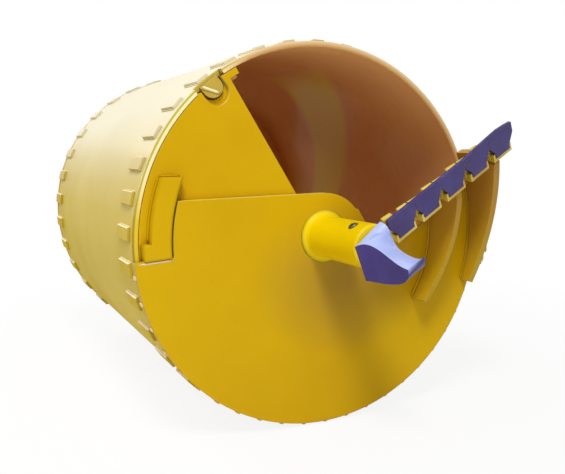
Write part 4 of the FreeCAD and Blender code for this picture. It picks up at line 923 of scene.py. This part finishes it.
def arc_weld_paths(arc):
    """Both sides of an upright arc, from its tail to where it meets the ramp's foot."""
    middle = (arc["inside"] + arc["outside"]) // 2
    head = TOOTH_ROW_ANGLE + math.degrees(math.asin(RAMP_FOOT / middle))
    return [ring_path(arc["outside"], PLATE_FACE, 1, 1, arc["tail"], head),
            ring_path(arc["inside"], PLATE_FACE, -1, 1, arc["tail"], head)]


weld("wing_weld", arc_weld_paths(WING), WING["leg"], "cutting_bottom", SHADED_WING_ENAMEL)
weld("fin_weld", arc_weld_paths(FIN), FIN["leg"], "cutting_bottom", SHADED_WING_ENAMEL)

back_along_plate = (along_row(0, -1, 0) - along_row(0, 0, 0)).normalized()
up_the_ramp = (along_row(0, -75, 124) - along_row(0, RAMP_FOOT, PLATE_FACE)).normalized()
ramp_paths = [straight_path(along_row(begin, RAMP_FOOT, PLATE_FACE), along_row(end, RAMP_FOOT, PLATE_FACE),
                            back_along_plate, up_the_ramp) for begin, end in ((104, 366), (390, 492))]
weld("ramp_weld", ramp_paths, 9, "cutting_bottom", SHADED_WING_ENAMEL)
print("wing, fin and ramp welded")

# %% [markdown]
# The stop lug stands on the flap. It takes the whole push of drilling from the rotating plate, so it is
# welded all round: along its outer side, across its top end, round its heel, and with a thin run in the
# narrow gap towards the plate.

# %% Welds of the stop lug

LUG_INNER = 454
LUG_LEG = 507
LUG_HEEL = 527
LUG_TOP = 176
HEEL_ANGLE = 179.6

inner_top, leg_top = (180 - math.degrees(math.asin(LUG_TOP / radius)) for radius in (LUG_INNER, LUG_LEG))
lug_top_path = straight_path(around(LUG_LEG, leg_top, 0), around(LUG_INNER, inner_top, 0),
                             way(0, 1, 0), OUT_OF_MOUTH)
weld("lug_weld", [ring_path(LUG_LEG, 0, 1, 1, leg_top, HEEL_ANGLE), lug_top_path],
     7, "flap", SOFT_ENAMEL)
weld("lug_heel_weld", [ring_path(LUG_HEEL, 0, 1, 1, HEEL_ANGLE, 184.4)],
     4.5, "flap", SOFT_ENAMEL)
weld("lug_gap_weld", [ring_path(LUG_INNER, 0, -1, 1, inner_top, 184.3)],
     2.2, "flap", SOFT_ENAMEL)
print("stop lug welded")

# %% [markdown]
# Under the flap, inside the barrel, are the housing of the pivot, two ribs that keep the flap flat, and the
# arms that reach out to the hinge. They show when the flap swings open, so they get their welds too.

# %% Welds under the flap

HOUSING_RADIUS = 115
RIB_ANGLES = (205, 295)
RIB_HALF = 0.0075
ARM_FACES = (54, 84)

weld("housing_weld", [ring_path(HOUSING_RADIUS, FLAP_UNDER, 1, -1)], 8, "flap", BOTTOM_ENAMEL,
     full_ends=True)
rib_paths = []
for angle in RIB_ANGLES:
    for side in (1, -1):
        face = outward(angle + 90 * side)
        begin, end = (around(radius, angle, FLAP_UNDER) + face * RIB_HALF for radius in (118, 474))
        rib_paths.append(straight_path(begin, end, face, INTO_BARREL))
weld("rib_weld", rib_paths, 6, "flap", BOTTOM_ENAMEL)
arm_paths = []
for up in (1, -1):
    for y, away in zip(ARM_FACES, (-1, 1)):
        arm_paths.append(straight_path(at(406, up * y, FLAP_UNDER), at(518, up * y, FLAP_UNDER),
                                       way(0, away * up, 0), INTO_BARREL))
weld("hinge_arm_weld", arm_paths, 6, "flap", BOTTOM_ENAMEL)
print("flap welded")

# %% [markdown]
# Soil wears the holders away from in front, so a smith lays a short, thick nose of hardfacing along the
# lower front edge of each one. It shows as a row of yellow lumps past the teeth's edges. A fat fillet weld
# makes it. Each bead is placed by the tooth above it, in shares of the tooth's width.

# %% Beads in front of the tooth holders

BEAD_SHARES = ((0, 0.05, 0.38), (0, 0.62, 0.96), (1, 0.60, 0.96), (2, 0.58, 0.96), (3, 0.6, 0.9))
HOLDER_DEPTH = 40


def tooth_point(number, x, y, z):
    """A point by its place on a tooth: x along the row, y back from the edge and z down through it."""
    tilt = math.radians(TOOTH_TILT)
    return along_row(ROW_START + TOOTH_PITCH * number + x, -y * math.cos(tilt) + z * math.sin(tilt),
                     TIP_HEIGHT - y * math.sin(tilt) - z * math.cos(tilt))


tooth_origin = tooth_point(0, 0, 0, 0)
forwards = (tooth_point(0, 0, -1, 0) - tooth_origin).normalized()
upwards = (tooth_origin - tooth_point(0, 0, 0, 1)).normalized()
bead_paths = []
for number, *shares in BEAD_SHARES:
    ends = [tooth_point(number, TOOTH_PITCH * share, 23.3 + 12.5 * share, HOLDER_DEPTH) for share in shares]
    bead_paths.append(straight_path(*ends, forwards, upwards))
weld("holder_beads", bead_paths, 17, "cutting_bottom", HOLDER_ENAMEL, full_ends=True)
print("beads:", len(bead_paths))

# %% [markdown]
# Two edges get pale strips. The latch hook's nose rides over the flap's ledge each time the flap slams shut,
# and its near-white strip is a painted highlight. The rotating plate's step is pressed against the stop lug,
# and its ochre strip is rubbed paint and also a painted highlight. A mask in the material could colour them,
# but each is a thin crowned strip that stands a little proud and rides on its own body.

# %% Pale strips on the hook and the plate

HOOK_PIVOT = 497
HOOK_DEPTH = 105
HOOK_THROW = math.radians(12)
HOOK_FACE = 103.9


def hook_point(x, y, z):
    """A point by its place on the hook: x out from the pivot, y round the axis, z out of the mouth."""
    radial = HOOK_PIVOT + x * math.cos(HOOK_THROW) + z * math.sin(HOOK_THROW)
    height = z * math.cos(HOOK_THROW) - x * math.sin(HOOK_THROW) - HOOK_DEPTH
    a = math.radians(LATCH_ANGLE)
    return at(radial * math.cos(a) - y * math.sin(a), radial * math.sin(a) + y * math.cos(a), height)


def crowned_band(begin, end, half_width, crown, place, steps=24, across=9):
    """Vertices and faces of a low domed strip between two places. place turns (x, y, height) into a point."""
    along = Vector((end[0] - begin[0], end[1] - begin[1])).normalized()
    side = Vector((-along.y, along.x))
    vertices = []
    faces = []
    for step in range(steps + 1):
        share = step / steps
        middle = Vector(begin).lerp(Vector(end), share)
        taper = min(1.0, 0.3 + 5 * min(share, 1 - share))
        for number in range(across):
            u = 2 * number / (across - 1) - 1
            spot = middle + side * (u * half_width * taper)
            vertices.append(place(spot.x, spot.y, crown * taper * math.sqrt(max(0.0, 1 - u * u))))
    for step in range(steps):
        for number in range(across):
            a = step * across + number
            b = step * across + (number + 1) % across
            faces.append((a, b, b + across, a + across))
    faces.append(tuple(range(across - 1, -1, -1)))
    faces.append(tuple(range(steps * across, (steps + 1) * across)))
    return vertices, faces


# Painted highlight on the hook's nose.
vertices, faces = crowned_band((-19, -4.5), (22, 22.5), 4.2, 0.9,
                               lambda x, y, height: hook_point(x, y, HOOK_FACE + height))
new_piece("hook_highlight_strip", vertices, faces, HIGHLIGHT_ENAMEL, "latch_hook")
# Rubbed paint and painted highlight on the plate's step.
vertices, faces = crowned_band((-447.5, -40.0), (-541.0, -47.4), 3.4, 0.8,
                               lambda x, y, height: at(x, y, PLATE_FACE - 0.05 + height))
new_piece("step_rubbed_highlight_strip", vertices, faces, RUBBED_AND_HIGHLIGHT_BEAD_ENAMEL, "cutting_bottom")
print("rubbed strips made: 2")

# %% [markdown]
# The pin that holds the pilot bit in its tube is driven in and peened over, so each end shows as a low dome
# with a dark ring round it. A sphere squashed flat would have too sharp a rim. A profile turned about the
# pin's own axis gives both domes.

# %% Pilot pin heads

PIN_ANGLE = 119.7
PIN_HEIGHT = 231
TUBE_RADIUS = 59.5
HEAD_PROFILE = ((11.6, -5.0), (11.6, 1.6), (11.1, 2.6), (9.6, 3.8), (7.0, 4.7), (4.0, 5.2), (1.2, 5.4))


def turned_head(axis, foot, profile, corners=40):
    """A round head on an axis, from (radius, height) pairs in millimetres."""
    side = axis.orthogonal().normalized()
    other = axis.cross(side)
    vertices = []
    faces = []
    for radius, height in profile:
        for corner in range(corners):
            a = math.tau * corner / corners
            spoke = side * math.cos(a) + other * math.sin(a)
            vertices.append(foot + spoke * radius / 1000 + axis * height / 1000)
    for ring in range(len(profile) - 1):
        for corner in range(corners):
            a = ring * corners + corner
            b = ring * corners + (corner + 1) % corners
            faces.append((a, b, b + corners, a + corners))
    faces.append(tuple(range(len(vertices) - corners, len(vertices))))
    faces.append(tuple(range(corners - 1, -1, -1)))
    return vertices, faces


for end, angle in (("near", PIN_ANGLE), ("far", PIN_ANGLE + 180)):
    vertices, faces = turned_head(outward(angle), around(TUBE_RADIUS - 1, angle, PIN_HEIGHT), HEAD_PROFILE)
    new_piece("pilot_pin_head_" + end, vertices, faces, HEAD_STEEL, "cutting_bottom")
print("pin heads made: 2")

# %% [markdown]
# The floor is only a stage. It has to look white and still carry the bucket's soft shadow. More light would
# whiten it, but would also burn out the paint. So what the camera sees of the floor is plain white for the
# most part, mixed with a little of the lit surface near the bucket and with none of it far away.

# %% Floor

SHADOW_CENTRE = (0.0, -0.75, 0.0)
ground = cad_box[0].z
bpy.ops.mesh.primitive_plane_add(size=60, location=(0, 0, ground))
floor = bpy.context.object
floor.name = "floor"


def white_when_seen(tree):
    """1 for a ray from the camera, a reflection or glass, else 0."""
    path = tree.nodes.new("ShaderNodeLightPath")
    seen = calculate(tree, "MAXIMUM", path.outputs["Is Camera Ray"], path.outputs["Is Glossy Ray"])
    return calculate(tree, "MAXIMUM", seen, path.outputs["Is Transmission Ray"])


def blend_shaders(tree, how_much, first, second, output):
    """Mixes two shaders by a factor and links the mix to an output node's surface."""
    blend = tree.nodes.new("ShaderNodeMixShader")
    tree.links.new(how_much, blend.inputs[0])
    tree.links.new(first.outputs[0], blend.inputs[1])
    tree.links.new(second.outputs[0], blend.inputs[2])
    tree.links.new(blend.outputs[0], tree.nodes[output].inputs["Surface"])


floor_paint, tree, shader = new_material("studio_floor", 0.9)
shader.inputs["Base Color"].default_value = (0.86, 0.86, 0.87, 1)
place = tree.nodes.new("ShaderNodeTexCoord")
away = tree.nodes.new("ShaderNodeVectorMath")
away.operation = "DISTANCE"
away.inputs[1].default_value = SHADOW_CENTRE
tree.links.new(place.outputs["Object"], away.inputs[0])
whiteness = ramp(tree, calculate(tree, "DIVIDE", away.outputs["Value"], 4.0), (0.25, 0.88), (0.60, 1.0))
glow = node(tree, "Emission", Color=(1, 1, 1, 1), Strength=1.0)
blend_shaders(tree, times(tree, white_when_seen(tree), whiteness), shader, glow, "Material Output")
floor.data.materials.append(floor_paint)
print("ground at", round(ground, 4))

# %% [markdown]
# The world does the same for the background: the camera and the reflections in the paint see a white room,
# while the light that the room really gives is plain and weak, so that the lamps shape the bucket.

# %% World

ROOM_LIGHT = 0.41

world = bpy.data.worlds.new("studio")
bpy.context.scene.world = world
world.use_nodes = True
tree = world.node_tree
room = tree.nodes["Background"]
room.inputs["Color"].default_value = (0.98, 0.98, 1.0, 1)
room.inputs["Strength"].default_value = ROOM_LIGHT
white = node(tree, "Background", Color=(1, 1, 1, 1), Strength=1.0)
blend_shaders(tree, white_when_seen(tree), room, white, "World Output")
print("room light:", ROOM_LIGHT)

# %% [markdown]
# Two area lamps, as a studio would have. The small one stands high in front of the mouth and to its left.
# It lights the bottom, and throws the shadow of the pilot tube down across the plate. The large one is like
# a window behind the barrel on the left, and lays the broad, soft light along its flank.

# %% Lamps


def lamp(name, place, aim, size, power, colour):
    """A square area lamp that points from one place to another."""
    data = bpy.data.lights.new(name, "AREA")
    data.shape = "SQUARE"
    data.size = size
    data.energy = power
    data.color = colour
    made = bpy.data.objects.new(name, data)
    bpy.context.scene.collection.objects.link(made)
    made.location = place
    made.rotation_mode = "QUATERNION"
    made.rotation_quaternion = (Vector(aim) - Vector(place)).to_track_quat("-Z", "Y")
    return made


mouth = at(0, 0, 0)
centre = at(0, 0, -600)
lamp("front_light", mouth + Vector((-1.35, -2.2, 3.5)), mouth, 1.1, 132, (1, 0.985, 0.95))
lamp("back_window", centre + Vector((-2.2, 3.2, 2.6)), centre, 3.0, 105, (1, 0.99, 0.96))

# %% [markdown]
# The camera stands where the photographer stood: to the left of the mouth, a little above its centre,
# looking seven degrees down. A long lens from farther away would flatten the barrel, and the photograph
# shows how strongly it narrows towards the kelly end, so the lens is 45 mm and the camera is close.

# %% Camera

camera_data = bpy.data.cameras.new("camera")
camera_data.lens = 44.61
camera_data.sensor_width = 36
camera = bpy.data.objects.new("camera", camera_data)
bpy.context.scene.collection.objects.link(camera)
camera.location = at(-971.7, 242.2, 1777.2)
forward = Vector((0.4287, 0.8953, -0.1216)).normalized()
camera.rotation_mode = "QUATERNION"
camera.rotation_quaternion = forward.to_track_quat("-Z", "Y")
bpy.context.scene.camera = camera
bpy.context.scene.view_settings.view_transform = "Standard"
print("camera at", tuple(round(c, 3) for c in camera.location))
